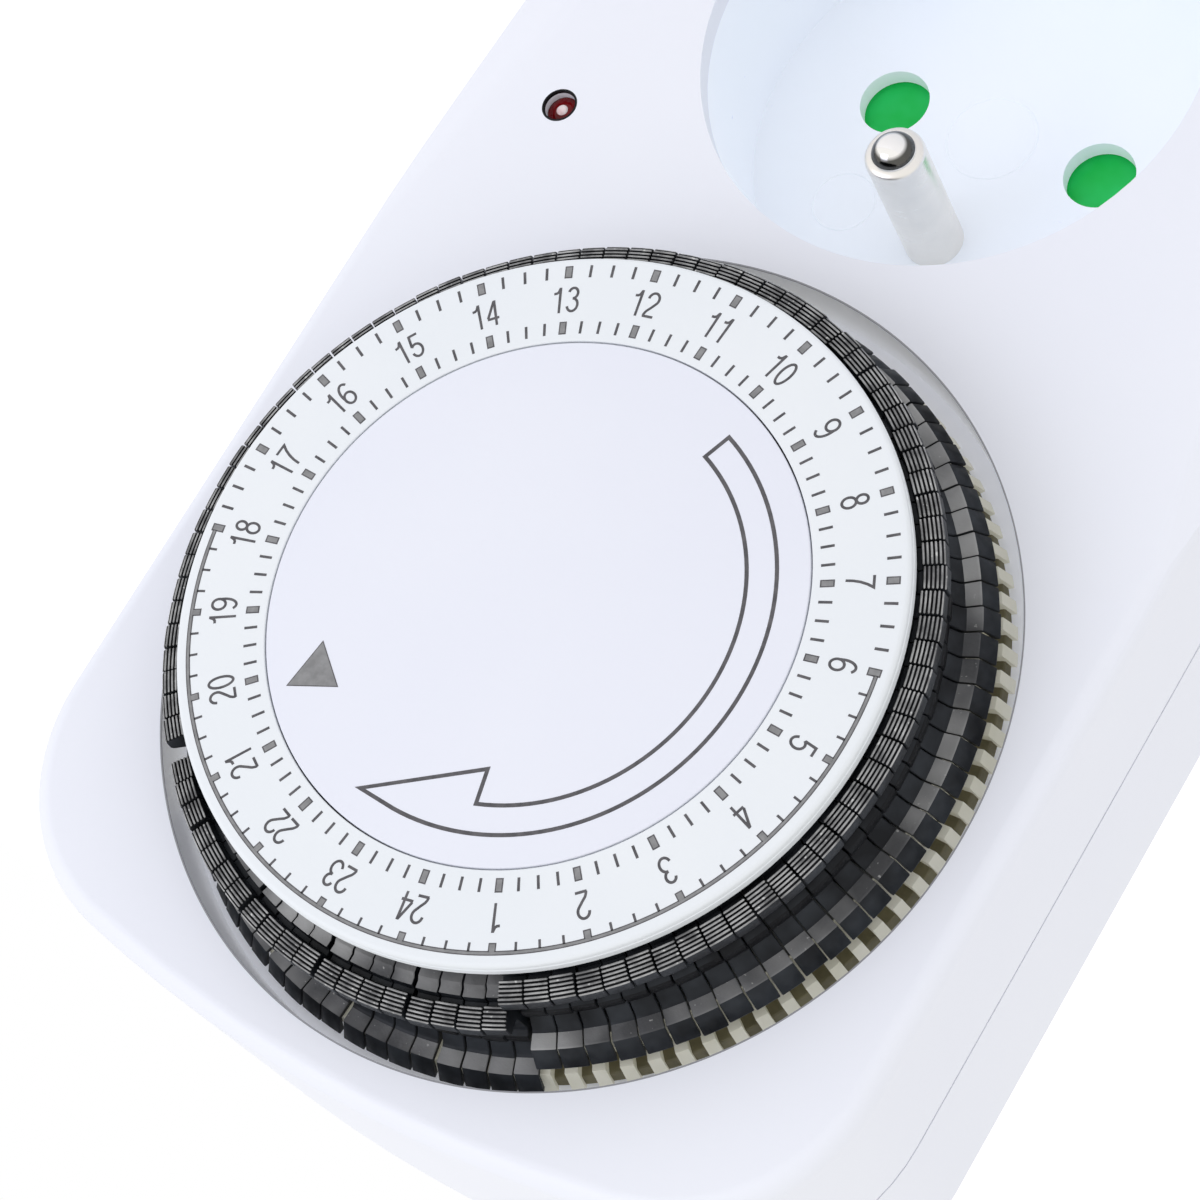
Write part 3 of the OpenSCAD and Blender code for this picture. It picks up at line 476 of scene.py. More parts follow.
# %% [markdown]
# ## A pen
# The figures and the arrow are lines of even width, so one pen draws them all. It moves a path
# half its width to each side along the normals, at two levels, and that makes a line of ink.

# %% The pen


def pen(path, width, closed=False, lift=1.0):
    """Four corners (left, right at two levels) for each point of a path, and the faces around them."""
    path = np.asarray(path, float)
    before = np.roll(path, 1, 0) if closed else np.concatenate(([2 * path[0] - path[1]], path[:-1]))
    after = np.roll(path, -1, 0) if closed else np.concatenate((path[1:], [2 * path[-1] - path[-2]]))
    a = (path - before) / np.linalg.norm(path - before, axis=1)[:, None]
    b = (after - path) / np.linalg.norm(after - path, axis=1)[:, None]
    normal = np.stack((-(a + b)[:, 1], (a + b)[:, 0]), -1)
    normal /= np.linalg.norm(normal, axis=1)[:, None]
    bend = np.clip(np.einsum("ij,ij->i", normal, np.stack((-a[:, 1], a[:, 0]), -1)), 0.35, 1)
    shift = normal * (width / 2 / bend)[:, None]
    corners = [np.concatenate((path + side * shift, np.full((len(path), 1), level)), 1)
               for side, level in ((1, INK_SUNK), (-1, INK_SUNK), (-1, -INK * lift), (1, -INK * lift))]
    faces = grid_quads(len(path), 4, closed, True)
    if not closed:
        last = 4 * len(path) - 4
        faces = np.concatenate((faces, [(0, 1, 2, 3), (last + 3, last + 2, last + 1, last)]))
    return np.stack(corners, 1).reshape(-1, 3), faces


print("a line of two points has", len(pen([(0, 0), (1, 0)], 0.1)[1]), "faces")

# %% [markdown]
# ## The figures
# The figures are narrow, light and even. Each one is drawn with a few pen strokes, parts of
# ellipses and straight runs, in a box half as wide as it is high. They stand between the two
# rings of ticks with their tops outwards. Each later stroke of a figure lies a little higher, so
# that no two faces share a plane where strokes cross.

# %% Ten figures, and the hours written with them
six = [np.concatenate((arc((0.27, 0.52), (0.225, 0.43), 48, 190, 20), [[0.055, 0.36]])),
       arc((0.255, 0.295), (0.2, 0.248), 10, 370, 30)]
strokes_of = {
    "0": [arc((0.25, 0.5), (0.2, 0.45), 5, 365, 34)],
    "1": [[(0.07, 0.765), (0.165, 0.775), (0.235, 0.82), (0.285, 0.955)],
          [(0.295, 0.995), (0.295, 0.0)]],
    "2": [np.concatenate((arc((0.25, 0.715), (0.195, 0.235), 178, -38, 20),
                          [[0.25, 0.375], [0.125, 0.235], [0.075, 0.13], [0.06, 0.047]])),
          [(0.035, 0.047), (0.455, 0.047)]],
    "3": [arc((0.24, 0.75), (0.165, 0.203), 165, -92, 20),
          arc((0.24, 0.295), (0.2, 0.248), 92, -168, 22)],
    "4": [[(0.335, 0.97), (0.05, 0.325)], [(0.03, 0.285), (0.475, 0.285)],
          [(0.35, 0.995), (0.35, 0.0)]],
    "5": [[(0.43, 0.95), (0.13, 0.95), (0.085, 0.49)],
          arc((0.24, 0.31), (0.205, 0.262), 140, -165, 22)],
    "6": six,
    "7": [[(0.03, 0.95), (0.455, 0.95), (0.34, 0.74), (0.25, 0.5), (0.195, 0.25), (0.175, 0.0)]],
    "8": [arc((0.25, 0.75), (0.16, 0.2), 5, 365, 26), arc((0.25, 0.29), (0.198, 0.243), 5, 365, 30)],
    "9": [np.array((0.5, 1.0)) - stroke for stroke in six],
}
FIGURE_R, FIGURE_H, PEN = 23.7, 2.12, 0.095
PITCH, NARROW = 0.54, 0.97
figure_strokes = []
for hour in range(1, 25):
    word = str(hour)
    for k, figure in enumerate(word):
        across = PITCH * (k - len(word) / 2) + 0.02
        for n, stroke in enumerate(strokes_of[figure]):
            flat, faces = pen(stroke, PEN, lift=1 + 0.12 * n)
            turn_on = np.degrees((flat[:, 0] + across) * FIGURE_H * NARROW / FIGURE_R)
            figure_strokes.append((on_dial(FIGURE_R + (flat[:, 1] - 0.5) * FIGURE_H,
                                           quarter_angle(4 * hour) - turn_on, flat[:, 2]), faces))
figures = make_piece("dial_figures", *together(*figure_strokes), "dial", "ring_white", sharp=20)
print("figures of", len(figure_strokes), "strokes")

# %% [markdown]
# ## The print on the fixed disc
# A small filled triangle points at the present hour, and an outlined arrow shows which way the
# dial may be turned. The arrow's outline is one closed loop of points for the same pen.

# %% Pointer and arrow
DISC_UNIT = 26.0


def cw(radius, degrees):
    """Flat point on the disc from a radius in dial units and an angle clockwise from straight up."""
    turn = math.radians(90 - degrees)
    return (radius * DISC_UNIT * math.cos(turn), radius * DISC_UNIT * math.sin(turn))


def arc_cw(radius, start, end, count):
    """A row of such points on one radius."""
    return [cw(radius, angle) for angle in np.linspace(start, end, count)]


def disc_print(name, flat, faces):
    """Points (x, y, level) of ink moved on to the disc's top plane and made a piece."""
    points = np.stack((AXIS_X + flat[:, 0], TOP_Y + flat[:, 2], AXIS_Z + flat[:, 1]), -1)
    return make_piece(name, points, faces, "housing", "disc_white", sharp=20)


arrow_loop = (arc_cw(0.600, -157.5, -17.7, 56) + [cw(0.500, -18.5), cw(0.689, 12.0)]
              + arc_cw(0.683, 2.0, -157.5, 70))
pointer = [cw(0.721, 44.8), cw(0.606, 53.3), cw(0.588, 39.4)]
pointer_flat = np.array([(*corner, level) for level in (INK_SUNK, -INK * 1.4) for corner in pointer])
pointer_faces = [(0, 1, 2), (5, 4, 3), (0, 3, 4, 1), (1, 4, 5, 2), (2, 5, 3, 0)]
arrow_print = disc_print("disc_arrow_print", *pen(arrow_loop, 0.3, True))
pointer_fill = disc_print("disc_pointer_fill", pointer_flat, pointer_faces)
pointer_edge = disc_print("disc_pointer_edge", *pen(pointer, 0.14, True))
print("arrow of", len(arrow_loop), "points")

# %% [markdown]
# ## Smooth skins
# The shells, the cup and the drum have the right shape already, but their meshes are loose flat
# triangles, which show as facets on rounded edges. A copy whose points are merged can carry
# smooth normals, once the normals stored with the solid are taken off it. The slivers inside
# each flat face are joined first, so that one large face is left, and the Weighted Normal
# modifier lets the large flat faces decide, so that they don't look swollen beside a narrow
# rounding. One large face round the holes of the cup's floor would shade unevenly, so the cup
# keeps its slivers and its plain normals.

# %% Merged copies with smooth normals
SKIN_SHARP = 32


def skin_of(node, flats=True):
    """A merged, smooth copy of a CAD node; flats says whether its large flat faces are evened."""
    source = frame["nodes"][node]
    mesh = source.data.copy()
    merge_points(mesh, 2e-7, melt=flats)
    if "custom_normal" in mesh.attributes:
        mesh.attributes.remove(mesh.attributes["custom_normal"])
    smooth_below(mesh, SKIN_SHARP)
    mesh.materials.clear()
    skin = add_object(node + "_skin", mesh)
    if flats:
        weighted = skin.modifiers.new("even_faces", "WEIGHTED_NORMAL")
        weighted.keep_sharp = True
    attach(skin, source["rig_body"])
    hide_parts(node)
    pieces_made[skin.name] = skin
    return skin


slot_of_node = {s["node"]: s["material_slot"] for s in frame["record"]["subparts"]}
for node in ("front_shell", "rear_shell", "socket_cup", "dial_drum", "housing_screws",
             "line_plug_pin", "neutral_plug_pin", "earth_strip", "manual_slider"):
    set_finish(skin_of(node, node != "socket_cup"), slot_of_node[node])
print("skins", sum(name.endswith("_skin") for name in pieces_made))

# %% [markdown]
# ## The earth pin
# The earth pin is a turned rod: a satin shaft, a dull shoulder ring and a polished domed tip. Its
# box in the frame gives its radius, its length and the middle of its front end.

# %% Earth pin


def round_box(corners):
    """Radius, middle of the front end and depth of a round node, from its box."""
    low, high = in_mm(corners)
    middle = (low + high) / 2
    return (high[0] - low[0]) / 2, (middle[0], low[1], middle[2]), high[1] - low[1]


pin_r, pin_centre, pin_length = round_box(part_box("earth_pin"))
SHAFT_END, TIP_END = 14.6, 1.35
dome = arc((0, 1.62), 1.62, 270, 348, 14)
pin_profile = np.concatenate((
    [[0, 0]], (dome * np.array((1.12, 0.92)))[1:],
    [[1.9, 1.2]], arc((pin_r - 0.5, 1.75), 0.5, 290, 360, 6),
    [[pin_r, SHAFT_END], [pin_r - 0.3, SHAFT_END], [pin_r - 0.3, pin_length], [0, pin_length]]))
earth_pin = turned("earth_pin_turned", pin_profile, "housing", "nickel", centre=pin_centre,
                   steps=96, closed=False, replaces=("earth_pin",), sharp=24)
# zones of the pin by the place of each face's middle: polished tip, or dull shaft and shoulder
middles = np.zeros(len(earth_pin.data.polygons) * 3)
earth_pin.data.polygons.foreach_get("center", middles)
middles = middles.reshape(-1, 3) / MM - np.array(pin_centre)
on_tip = (np.hypot(middles[:, 0], middles[:, 2]) < dome[-1, 0] * 1.1) & (middles[:, 1] < TIP_END)
zones_of_piece[earth_pin.name] = on_tip.astype(np.int32)
print("pin", round(pin_length, 2), "long, radius", round(pin_r, 2))

# %% [markdown]
# ## The lamp
# The lamp is a clear red cap set back in its hole. A small pale dome just in front of the lens,
# near its middle, is a painted highlight. Round it, the hole shows a thin dark ring at the face.

# %% Lamp lens, painted highlight and rim
FACE_Y = -41.5
lens_r, lens_centre, lens_depth = round_box(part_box("lamp_lens"))
window_r = lens_r - 0.53
lens_profile = np.concatenate((
    [[0, -0.33]], arc((0, 1.85), 2.2, 272, 303, 10) * np.array((1.05, 1.0)),
    [[window_r, 0.15], [window_r, 0.95], [lens_r, 1.0], [lens_r, lens_depth], [0, lens_depth]]))
turned("lamp_lens_domed", lens_profile, "housing", "lens_red", centre=lens_centre,
       steps=64, closed=False, replaces=("lamp_lens",), sharp=30)
# the small pale dome on the lens front is a painted highlight
spot_profile = np.concatenate((
    [[0, -0.42]], arc((0.2, -0.06), 0.36, 275, 355, 7), [[0.54, 0.13], [0, 0.13]]))
spot_centre = np.array(lens_centre) + (-0.06, 0.0, 0.06)
lens_spot = turned("lamp_painted_highlight_spot", spot_profile, "housing", "lens_red", centre=spot_centre,
                   steps=32, closed=False)
hole_r = window_r + 0.03
rim_profile = np.array(((-0.02, 0.28), (-0.02, 0.0), (0.02, -0.02), (0.15, -0.02), (0.17, 0.02)))
lamp_rim = turned("lamp_dark_rim", rim_profile + (hole_r, 0.0), "housing", "segment_black",
                  centre=(lens_centre[0], FACE_Y, lens_centre[2]), steps=64)
print("lamp hole", round(hole_r, 2), "lens set back", round(lens_centre[1] - FACE_Y, 2))

# %% [markdown]
# ## Marks in the socket
# On the socket's floor there are two faint rings left by the mould. Each is a low ridge.

# %% Mould marks
floor_y = FACE_Y + 15.0


def floor_ring(name, x, z, radius, width):
    """A low round ridge on the socket's floor: a half ellipse turned about the mark's centre."""
    ridge = arc((radius, 0.0), (width / 2, 0.06), 180, 360, 9)
    ridge = np.concatenate((ridge, [[radius + width / 2, 0.05], [radius - width / 2, 0.05]]))
    return turned(name, ridge, "housing", "recess_white", centre=(x, floor_y, z), steps=96)


floor_ring("socket_mark_middle", 0.3, 0.1, 3.7, 0.22)
floor_ring("socket_mark_side", 8.76, 9.6, 2.6, 0.2)
print("socket floor at", floor_y)

# %% [markdown]
# ## Working with nodes
# A finish is a tree of nodes, and writing one takes the same few steps again and again: type a
# value or draw a link, add a noise, do some maths, mix two colours. Each step is a short helper,
# so that a finish below reads as a list of what it mixes.

# %% Helpers for node trees


def feed(tree, value, socket):
    """Links an output to an input socket, or types a number or a colour on it."""
    if isinstance(value, bpy.types.NodeSocket):
        tree.links.new(value, socket)
    else:
        socket.default_value = value


def object_place(tree):
    """The place of a surface point on its own object."""
    return tree.nodes.new("ShaderNodeTexCoord").outputs["Object"]


def coordinate(tree, side):
    """One of the three numbers of that place, in metres."""
    parts = tree.nodes.new("ShaderNodeSeparateXYZ")
    feed(tree, object_place(tree), parts.inputs[0])
    return parts.outputs[side]


def noise(tree, place, scale, detail=2.0, roughness=0.5):
    """A noise texture on a place, with its scale typed or linked."""
    texture = tree.nodes.new("ShaderNodeTexNoise")
    for label, value in (("Vector", place), ("Scale", scale), ("Detail", detail),
                         ("Roughness", roughness)):
        feed(tree, value, texture.inputs[label])
    return texture.outputs["Fac"]


def maths(tree, operation, *values, clamp=False):
    """One Math node with its values typed or linked."""
    node = tree.nodes.new("ShaderNodeMath")
    node.operation = operation
    node.use_clamp = clamp
    for socket, value in zip(node.inputs, values):
        feed(tree, value, socket)
    return node.outputs[0]


def product(tree, first, *others):
    """All the values multiplied together."""
    for other in others:
        first = maths(tree, "MULTIPLY", first, other)
    return first


def ramp(tree, value, start, slope, clamp=True):
    """(value - start) x slope, held between 0 and 1 where clamp says so."""
    return maths(tree, "MULTIPLY", maths(tree, "SUBTRACT", value, start), slope, clamp=clamp)


def mixed(tree, factor, a, b):
    """One colour Mix node: a where the factor is 0, b where it is 1."""
    node = tree.nodes.new("ShaderNodeMix")
    node.data_type = "RGBA"
    for label, value in (("Factor", factor), ("A", a), ("B", b)):
        feed(tree, value, node.inputs[label])
    return node.outputs["Result"]


print("node helpers ready, groups so far", len(bpy.data.node_groups))

# %% [markdown]
# ## Shared effects
# Several finishes need the same things: a fine moulded grain, a slow drift of tone, small specks
# and the streaks of turned or drawn metal. Each is a node group with named inputs, built once and
# placed in every material with its own values, so that one change reaches all of them.

# %% Node groups for grain, drift, specks and streaks
SOCKET_KINDS = {1: "NodeSocketFloat", 3: "NodeSocketVector", 4: "NodeSocketColor"}


def new_group(name, inputs, outputs):
    """An empty shader group; a socket's kind follows from how many numbers its value has."""
    tree = bpy.data.node_groups.new(name, "ShaderNodeTree")
    for way, values in (("INPUT", inputs), ("OUTPUT", outputs)):
        for label, value in values.items():
            kind = SOCKET_KINDS[np.size(value)]
            tree.interface.new_socket(label, in_out=way, socket_type=kind).default_value = value
    return tree, tree.nodes.new("NodeGroupInput").outputs, tree.nodes.new("NodeGroupOutput").inputs


def drifting_gloss(tree, first, second, inputs):
    """Roughness + (first + second - 1) x Spread: two noises pull the gloss up and down."""
    drift = ramp(tree, maths(tree, "ADD", first, second), 1.0, inputs["Spread"], clamp=False)
    return maths(tree, "ADD", inputs["Roughness"], drift, clamp=True)


# grain: fine moulded texture, as a height and as a change of gloss
grain, given, made = new_group("moulded_grain", {"Scale": 3000.0, "Roughness": 0.4, "Spread": 0.08},
                               {"Height": 0.0, "Roughness": 0.0})
place = object_place(grain)
fine = noise(grain, place, given["Scale"], 3.0, 0.6)
slow = noise(grain, place, 140.0)
feed(grain, maths(grain, "ADD", fine, maths(grain, "MULTIPLY", slow, 0.3)), made["Height"])
feed(grain, drifting_gloss(grain, slow, fine, given), made["Roughness"])

# tone: two colours that drift into each other, with small specks of a third
tone, given, made = new_group("drifting_tone", {
    "Colour": (0.8, 0.8, 0.8, 1), "Second": (0.7, 0.7, 0.7, 1), "Speck": (0.3, 0.3, 0.3, 1),
    "Scale": 60.0, "Speck Scale": 900.0, "Speck Amount": 0.05}, {"Colour": (0, 0, 0, 1)})
place = object_place(tone)
wide = noise(tone, place, given["Scale"], 3.0, 0.55)
two_tone = mixed(tone, ramp(tone, wide, 0.36, 3.2), given["Colour"], given["Second"])
small = noise(tone, place, given["Speck Scale"], 1.0)
level = maths(tone, "SUBTRACT", 0.82, given["Speck Amount"])
feed(tone, mixed(tone, ramp(tone, small, level, 14.0), two_tone, given["Speck"]), made["Colour"])

# streaks: noise stretched along one axis, for turned pins, wire and rolled sheet
streaks, given, made = new_group("metal_streaks", {
    "Stretch": (1.0, 30.0, 1.0), "Scale": 400.0, "Roughness": 0.25, "Spread": 0.15},
    {"Height": 0.0, "Roughness": 0.0, "Mask": 0.0})
place = object_place(streaks)
stretched = streaks.nodes.new("ShaderNodeVectorMath")
stretched.operation = "MULTIPLY"
feed(streaks, place, stretched.inputs[0])
feed(streaks, given["Stretch"], stretched.inputs[1])
lines = noise(streaks, stretched.outputs[0], given["Scale"], 4.0, 0.65)
stain = noise(streaks, place, 350.0, 3.0, 0.6)
feed(streaks, lines, made["Height"])
feed(streaks, drifting_gloss(streaks, lines, stain, given), made["Roughness"])
feed(streaks, stain, made["Mask"])
print("groups", [g.name for g in bpy.data.node_groups])

# %% [markdown]
# ## Plastics and inks
# All plastics share one recipe and differ in their numbers: the tone group gives the colour, the
# grain group gives the gloss and a very low bump. What is the same all over, such as the
# specular level, is typed on the shader itself.

# %% A recipe for moulded plastic


def new_finish(name):
    """A new node material, its tree and its Principled shader."""
    material = bpy.data.materials.new(name)
    material.use_nodes = True
    return material, material.node_tree, material.node_tree.nodes["Principled BSDF"]


def placed(tree, group, values):
    """The outputs of a node that holds the group, with these values typed on its inputs."""
    node = tree.nodes.new("ShaderNodeGroup")
    node.node_tree = group
    for label, value in values.items():
        node.inputs[label].default_value = value
    return node.outputs


def bumped(tree, height, distance, shader):
    """A Bump node that turns a height, this many metres high, into the shader's normal."""
    bump = tree.nodes.new("ShaderNodeBump")
    bump.inputs["Distance"].default_value = distance
    feed(tree, height, bump.inputs["Height"])
    feed(tree, bump.outputs["Normal"], shader.inputs["Normal"])


def plastic(name, colour, second, roughness, spread=0.08, grain_scale=3000.0, bump=1e-5,
            tone_scale=60.0, speck=None, speck_scale=900.0, speck_amount=0.0, specular=0.5, glow=0.0):
    """Principled plastic whose colour drifts, whose gloss varies and whose skin has a grain."""
    material, tree, shader = new_finish(name)
    colours = placed(tree, tone, {
        "Colour": (*colour, 1), "Second": (*second, 1), "Speck": (*(speck or second), 1),
        "Scale": tone_scale, "Speck Scale": speck_scale, "Speck Amount": speck_amount})
    skin = placed(tree, grain, {"Scale": grain_scale, "Roughness": roughness, "Spread": spread})
    feed(tree, colours["Colour"], shader.inputs["Base Color"])
    feed(tree, skin["Roughness"], shader.inputs["Roughness"])
    bumped(tree, skin["Height"], bump, shader)
    shader.inputs["Specular IOR Level"].default_value = specular
    # glow: emission in the second colour, painted light where a finish uses it
    shader.inputs["Emission Color"].default_value = (*second, 1)
    shader.inputs["Emission Strength"].default_value = glow
    return material


print("recipe for plastic ready")

# %% [markdown]
# ## The table of plastics
# Pale plastics are nearly even and have a very fine grain. The black ones on the segments have a
# second colour much lighter than their first, and more specks: on the rib crests the light grey is
# a painted highlight, and on the rough grey ledge the wide drift towards grey is painted light and shade.
# A finish that a slot of the part wears has that slot's name. The others are for zones and prints.

# %% Every plastic and ink
finishes = {
    "housing_white": plastic(
        "housing_satin_white", (0.80, 0.815, 0.875), (0.82, 0.835, 0.885), 0.42, grain_scale=2400,
        bump=6e-6, tone_scale=22, speck=(0.6, 0.6, 0.62), speck_scale=700, speck_amount=-0.05),
    # the recess's glow is painted light that lifts the socket's shade
    "recess_white": plastic(
        "recess_pale_blue", (0.80, 0.84, 0.90), (0.83, 0.865, 0.915), 0.3, grain_scale=2600,
        bump=4e-6, tone_scale=40, glow=0.14),
    "ring_white": plastic(
        "ring_printed_white", (0.80, 0.825, 0.84), (0.78, 0.81, 0.83), 0.48, grain_scale=3400,
        bump=4e-6, tone_scale=50),
    "disc_white": plastic(
        "disc_printed_white", (0.77, 0.785, 0.855), (0.79, 0.805, 0.865), 0.5, grain_scale=3400,
        bump=4e-6, tone_scale=30),
    "grip": plastic(
        "segment_grip_black", (0.005, 0.005, 0.006), (0.014, 0.015, 0.017), 0.4, spread=0.2,
        grain_scale=5200, tone_scale=420, speck=(0.18, 0.18, 0.19), speck_scale=2600,
        speck_amount=0.04, specular=0.12),
    # the crests' light grey is a painted highlight on the top edge of each rib and of the lip
    "crest": plastic(
        "segment_crest_painted_highlight", (0.13, 0.13, 0.13), (0.42, 0.42, 0.41), 0.3, spread=0.25,
        grain_scale=5200, tone_scale=700, speck=(0.6, 0.6, 0.58), speck_scale=2200,
        speck_amount=0.14),
    # the ledge is rough grey plastic; the wide drift of its tone, from near black to grey, is painted
    # light and shade
    "ledge": plastic(
        "segment_ledge_grey", (0.05, 0.051, 0.054), (0.33, 0.33, 0.325), 0.6, spread=0.25,
        grain_scale=4200, bump=3e-5, tone_scale=110, speck=(0.32, 0.32, 0.31), speck_scale=3400,
        speck_amount=0.1),
    "segment_black": plastic(
        "segment_skirt_black", (0.008, 0.009, 0.011), (0.030, 0.034, 0.040), 0.36, spread=0.15,
        grain_scale=3600, bump=6e-6, tone_scale=260, specular=0.15),
    # the drum's glow is painted light that lifts the teeth out of the well's shade
    "drum_cream": plastic(
        "drum_cream", (0.86, 0.84, 0.72), (0.78, 0.76, 0.62), 0.46, spread=0.14, grain_scale=2600,
        bump=1.2e-5, tone_scale=240, speck=(0.34, 0.32, 0.22), speck_amount=0.02, glow=0.08),
    # the notch floor's dark olive is painted shade in the notches between the cream teeth
    "olive": plastic(
        "drum_notch_painted_shade", (0.20, 0.18, 0.10), (0.13, 0.115, 0.06), 0.6, spread=0.14,
        grain_scale=2600, bump=1.2e-5, tone_scale=500),
    "gear_nylon": plastic(
        "gear_nylon", (0.72, 0.69, 0.58), (0.65, 0.62, 0.5), 0.5, tone_scale=200),
    # the shutters' glow is painted light that lifts their shade
    "shutter_green": plastic(
        "shutter_green", (0.0, 0.46, 0.06), (0.02, 0.58, 0.14), 0.3, grain_scale=2600, bump=4e-6,
        tone_scale=160, specular=0.25, glow=0.05),
    "switch_black": plastic(
        "switch_black", (0.03, 0.03, 0.033), (0.055, 0.055, 0.06), 0.5, tone_scale=300),
    "button_red": plastic(
        "button_red", (0.55, 0.03, 0.02), (0.45, 0.02, 0.015), 0.45, tone_scale=300),
    "board_tan": plastic(
        "board_tan", (0.42, 0.33, 0.16), (0.33, 0.25, 0.11), 0.55, tone_scale=500,
        speck=(0.5, 0.46, 0.3), speck_scale=2500, speck_amount=0.06),
    "ink": plastic(
        "print_ink_dark", (0.065, 0.063, 0.068), (0.11, 0.105, 0.11), 0.6, grain_scale=6000,
        tone_scale=1400, speck=(0.3, 0.3, 0.31), speck_scale=4200, speck_amount=0.03),
    "ink_grey": plastic(
        "print_ink_grey", (0.2, 0.2, 0.2), (0.27, 0.27, 0.27), 0.6, grain_scale=6000,
        tone_scale=1400),
    # the pale spot on the lens: a painted highlight
    "spot_highlight": plastic("lens_spot_painted_highlight", (0.85, 0.8, 0.78), (0.7, 0.5, 0.5), 0.35, tone_scale=900),
}
print("plastics", len(finishes))

# %% [markdown]
# ## Painted shade on the drum's cone
# The segments slide on the drum's cone, which is painted dark there as shade between them, while
# the teeth below them stay cream. The height along the dial's axis tells the two apart: a short
# ramp on the depth in object coordinates gives the share of painted shade, and it darkens the glow
# in the same way.

# %% The drum's cone in painted shade


def base_of(material):
    """A finish's tree, its shader, and the output that gives its base colour."""
    tree = material.node_tree
    shader = tree.nodes["Principled BSDF"]
    return tree, shader, shader.inputs["Base Color"].links[0].from_socket


# painted shade on the cone between the segments, dark above the teeth
CONE_SHADE_COLOUR = (0.02, 0.02, 0.019, 1)
drum_tree, drum_shader, cream = base_of(finishes["drum_cream"])
cone_shade_share = ramp(drum_tree, coordinate(drum_tree, "Y"), (TOP_Y + TOOTH_TOP - 0.05) * MM, -1 / (0.2 * MM))
drum_colour = mixed(drum_tree, cone_shade_share, cream, CONE_SHADE_COLOUR)
feed(drum_tree, drum_colour, drum_shader.inputs["Base Color"])
feed(drum_tree, drum_colour, drum_shader.inputs["Emission Color"])
print("cone dark above", round(TOP_Y + TOOTH_TOP, 2))

# %% [markdown]
# ## Painted light in the well
# The well round the dial is narrow and deep. Its shade is lifted with painted light: the housing's
# finish glows a little there and faintly elsewhere, and distance from the dial's axis and depth
# make a mask for Emission Color.
# A thin grey line of painted shade is drawn on the face along the well's edge.

# %% The housing's painted glow, masked to the well
GLOW_R, WELL_EDGE_R, EDGE_SHADE_WIDE = 33.2, 32.84, 0.15
GLOW_FROM, GLOW_TO, EDGE_SHADE_TO = FACE_Y + 0.12, TOP_Y + 17.0, FACE_Y + 0.1
# strengths of painted light on the housing: full in the well, a little everywhere else
FULL_GLOW, REST_GLOW = 0.19, 0.12
EDGE_SHADE_GREY, EDGE_SHADE_SHARE = (0.12, 0.12, 0.13, 1), 0.8


def radius_from(tree, centre):
    """Distance of a surface point from the axis through centre that runs along Y, in metres."""
    offsets = [maths(tree, "SUBTRACT", coordinate(tree, side), middle * MM)
               for side, middle in (("X", centre[0]), ("Z", centre[2]))]
    squares = [maths(tree, "MULTIPLY", offset, offset) for offset in offsets]
    return maths(tree, "SQRT", maths(tree, "ADD", *squares))


shell, shell_shader, shell_tone = base_of(finishes["housing_white"])
depth = coordinate(shell, "Y")
from_axis = radius_from(shell, (AXIS_X, 0, AXIS_Z))
in_well = product(shell, maths(shell, "LESS_THAN", from_axis, GLOW_R * MM),
                  maths(shell, "GREATER_THAN", depth, GLOW_FROM * MM),
                  maths(shell, "LESS_THAN", depth, GLOW_TO * MM))
# the housing's emission is painted light, strongest in the well's shade
glow = mixed(shell, maths(shell, "MAXIMUM", in_well, REST_GLOW), (0, 0, 0, 1), shell_tone)
feed(shell, glow, shell_shader.inputs["Emission Color"])
shell_shader.inputs["Emission Strength"].default_value = FULL_GLOW
# a thin grey ring of painted shade on the face at the well's edge
from_edge = maths(shell, "ABSOLUTE", maths(shell, "SUBTRACT", from_axis, WELL_EDGE_R * MM))
edge_shade = product(shell, maths(shell, "LESS_THAN", from_edge, EDGE_SHADE_WIDE / 2 * MM),
               maths(shell, "LESS_THAN", depth, EDGE_SHADE_TO * MM), EDGE_SHADE_SHARE)
feed(shell, mixed(shell, edge_shade, shell_tone, EDGE_SHADE_GREY), shell_shader.inputs["Base Color"])
print("glow within", GLOW_R, "mm of the dial's axis")

# %% [markdown]
# ## Metals
# Metal is the same shader with Metallic at one. Turned pins have fine rings across their length,
# brass strip has long marks from rolling. The earth pin's tip is polished bright in its middle,
# and round it, up to the dull shoulder, a dark ring is a painted reflection, a ramp on the radius.

# %% A recipe for metal, and the pin's tip


def metal(name, colour, second, roughness, stretch, scale, spread=0.15):
    """Principled metal with streaks in its gloss and relief, and a stain in its colour."""
    material, tree, shader = new_finish(name)
    shader.inputs["Metallic"].default_value = 1.0
    streak = placed(tree, streaks, {"Stretch": stretch, "Scale": scale, "Roughness": roughness,
                                    "Spread": spread})
    feed(tree, mixed(tree, streak["Mask"], (*colour, 1), (*second, 1)), shader.inputs["Base Color"])
    feed(tree, streak["Roughness"], shader.inputs["Roughness"])
    bumped(tree, streak["Height"], 3e-6, shader)
    return material


finishes["nickel"] = metal("pin_nickel", (0.92, 0.88, 0.82), (0.80, 0.775, 0.73), 0.3, (1, 26, 1), 420)
finishes["steel"] = metal("zinc_steel", (0.5, 0.51, 0.53), (0.4, 0.41, 0.43), 0.34, (1, 8, 1), 500)
finishes["brass"] = metal("strip_brass", (0.70, 0.52, 0.22), (0.6, 0.42, 0.16), 0.3, (1, 1, 14), 500)
finishes["tip"] = metal("pin_tip_polished", (0.98, 0.96, 0.93), (0.86, 0.84, 0.81), 0.12, (1, 26, 1),
                        420, 0.05)
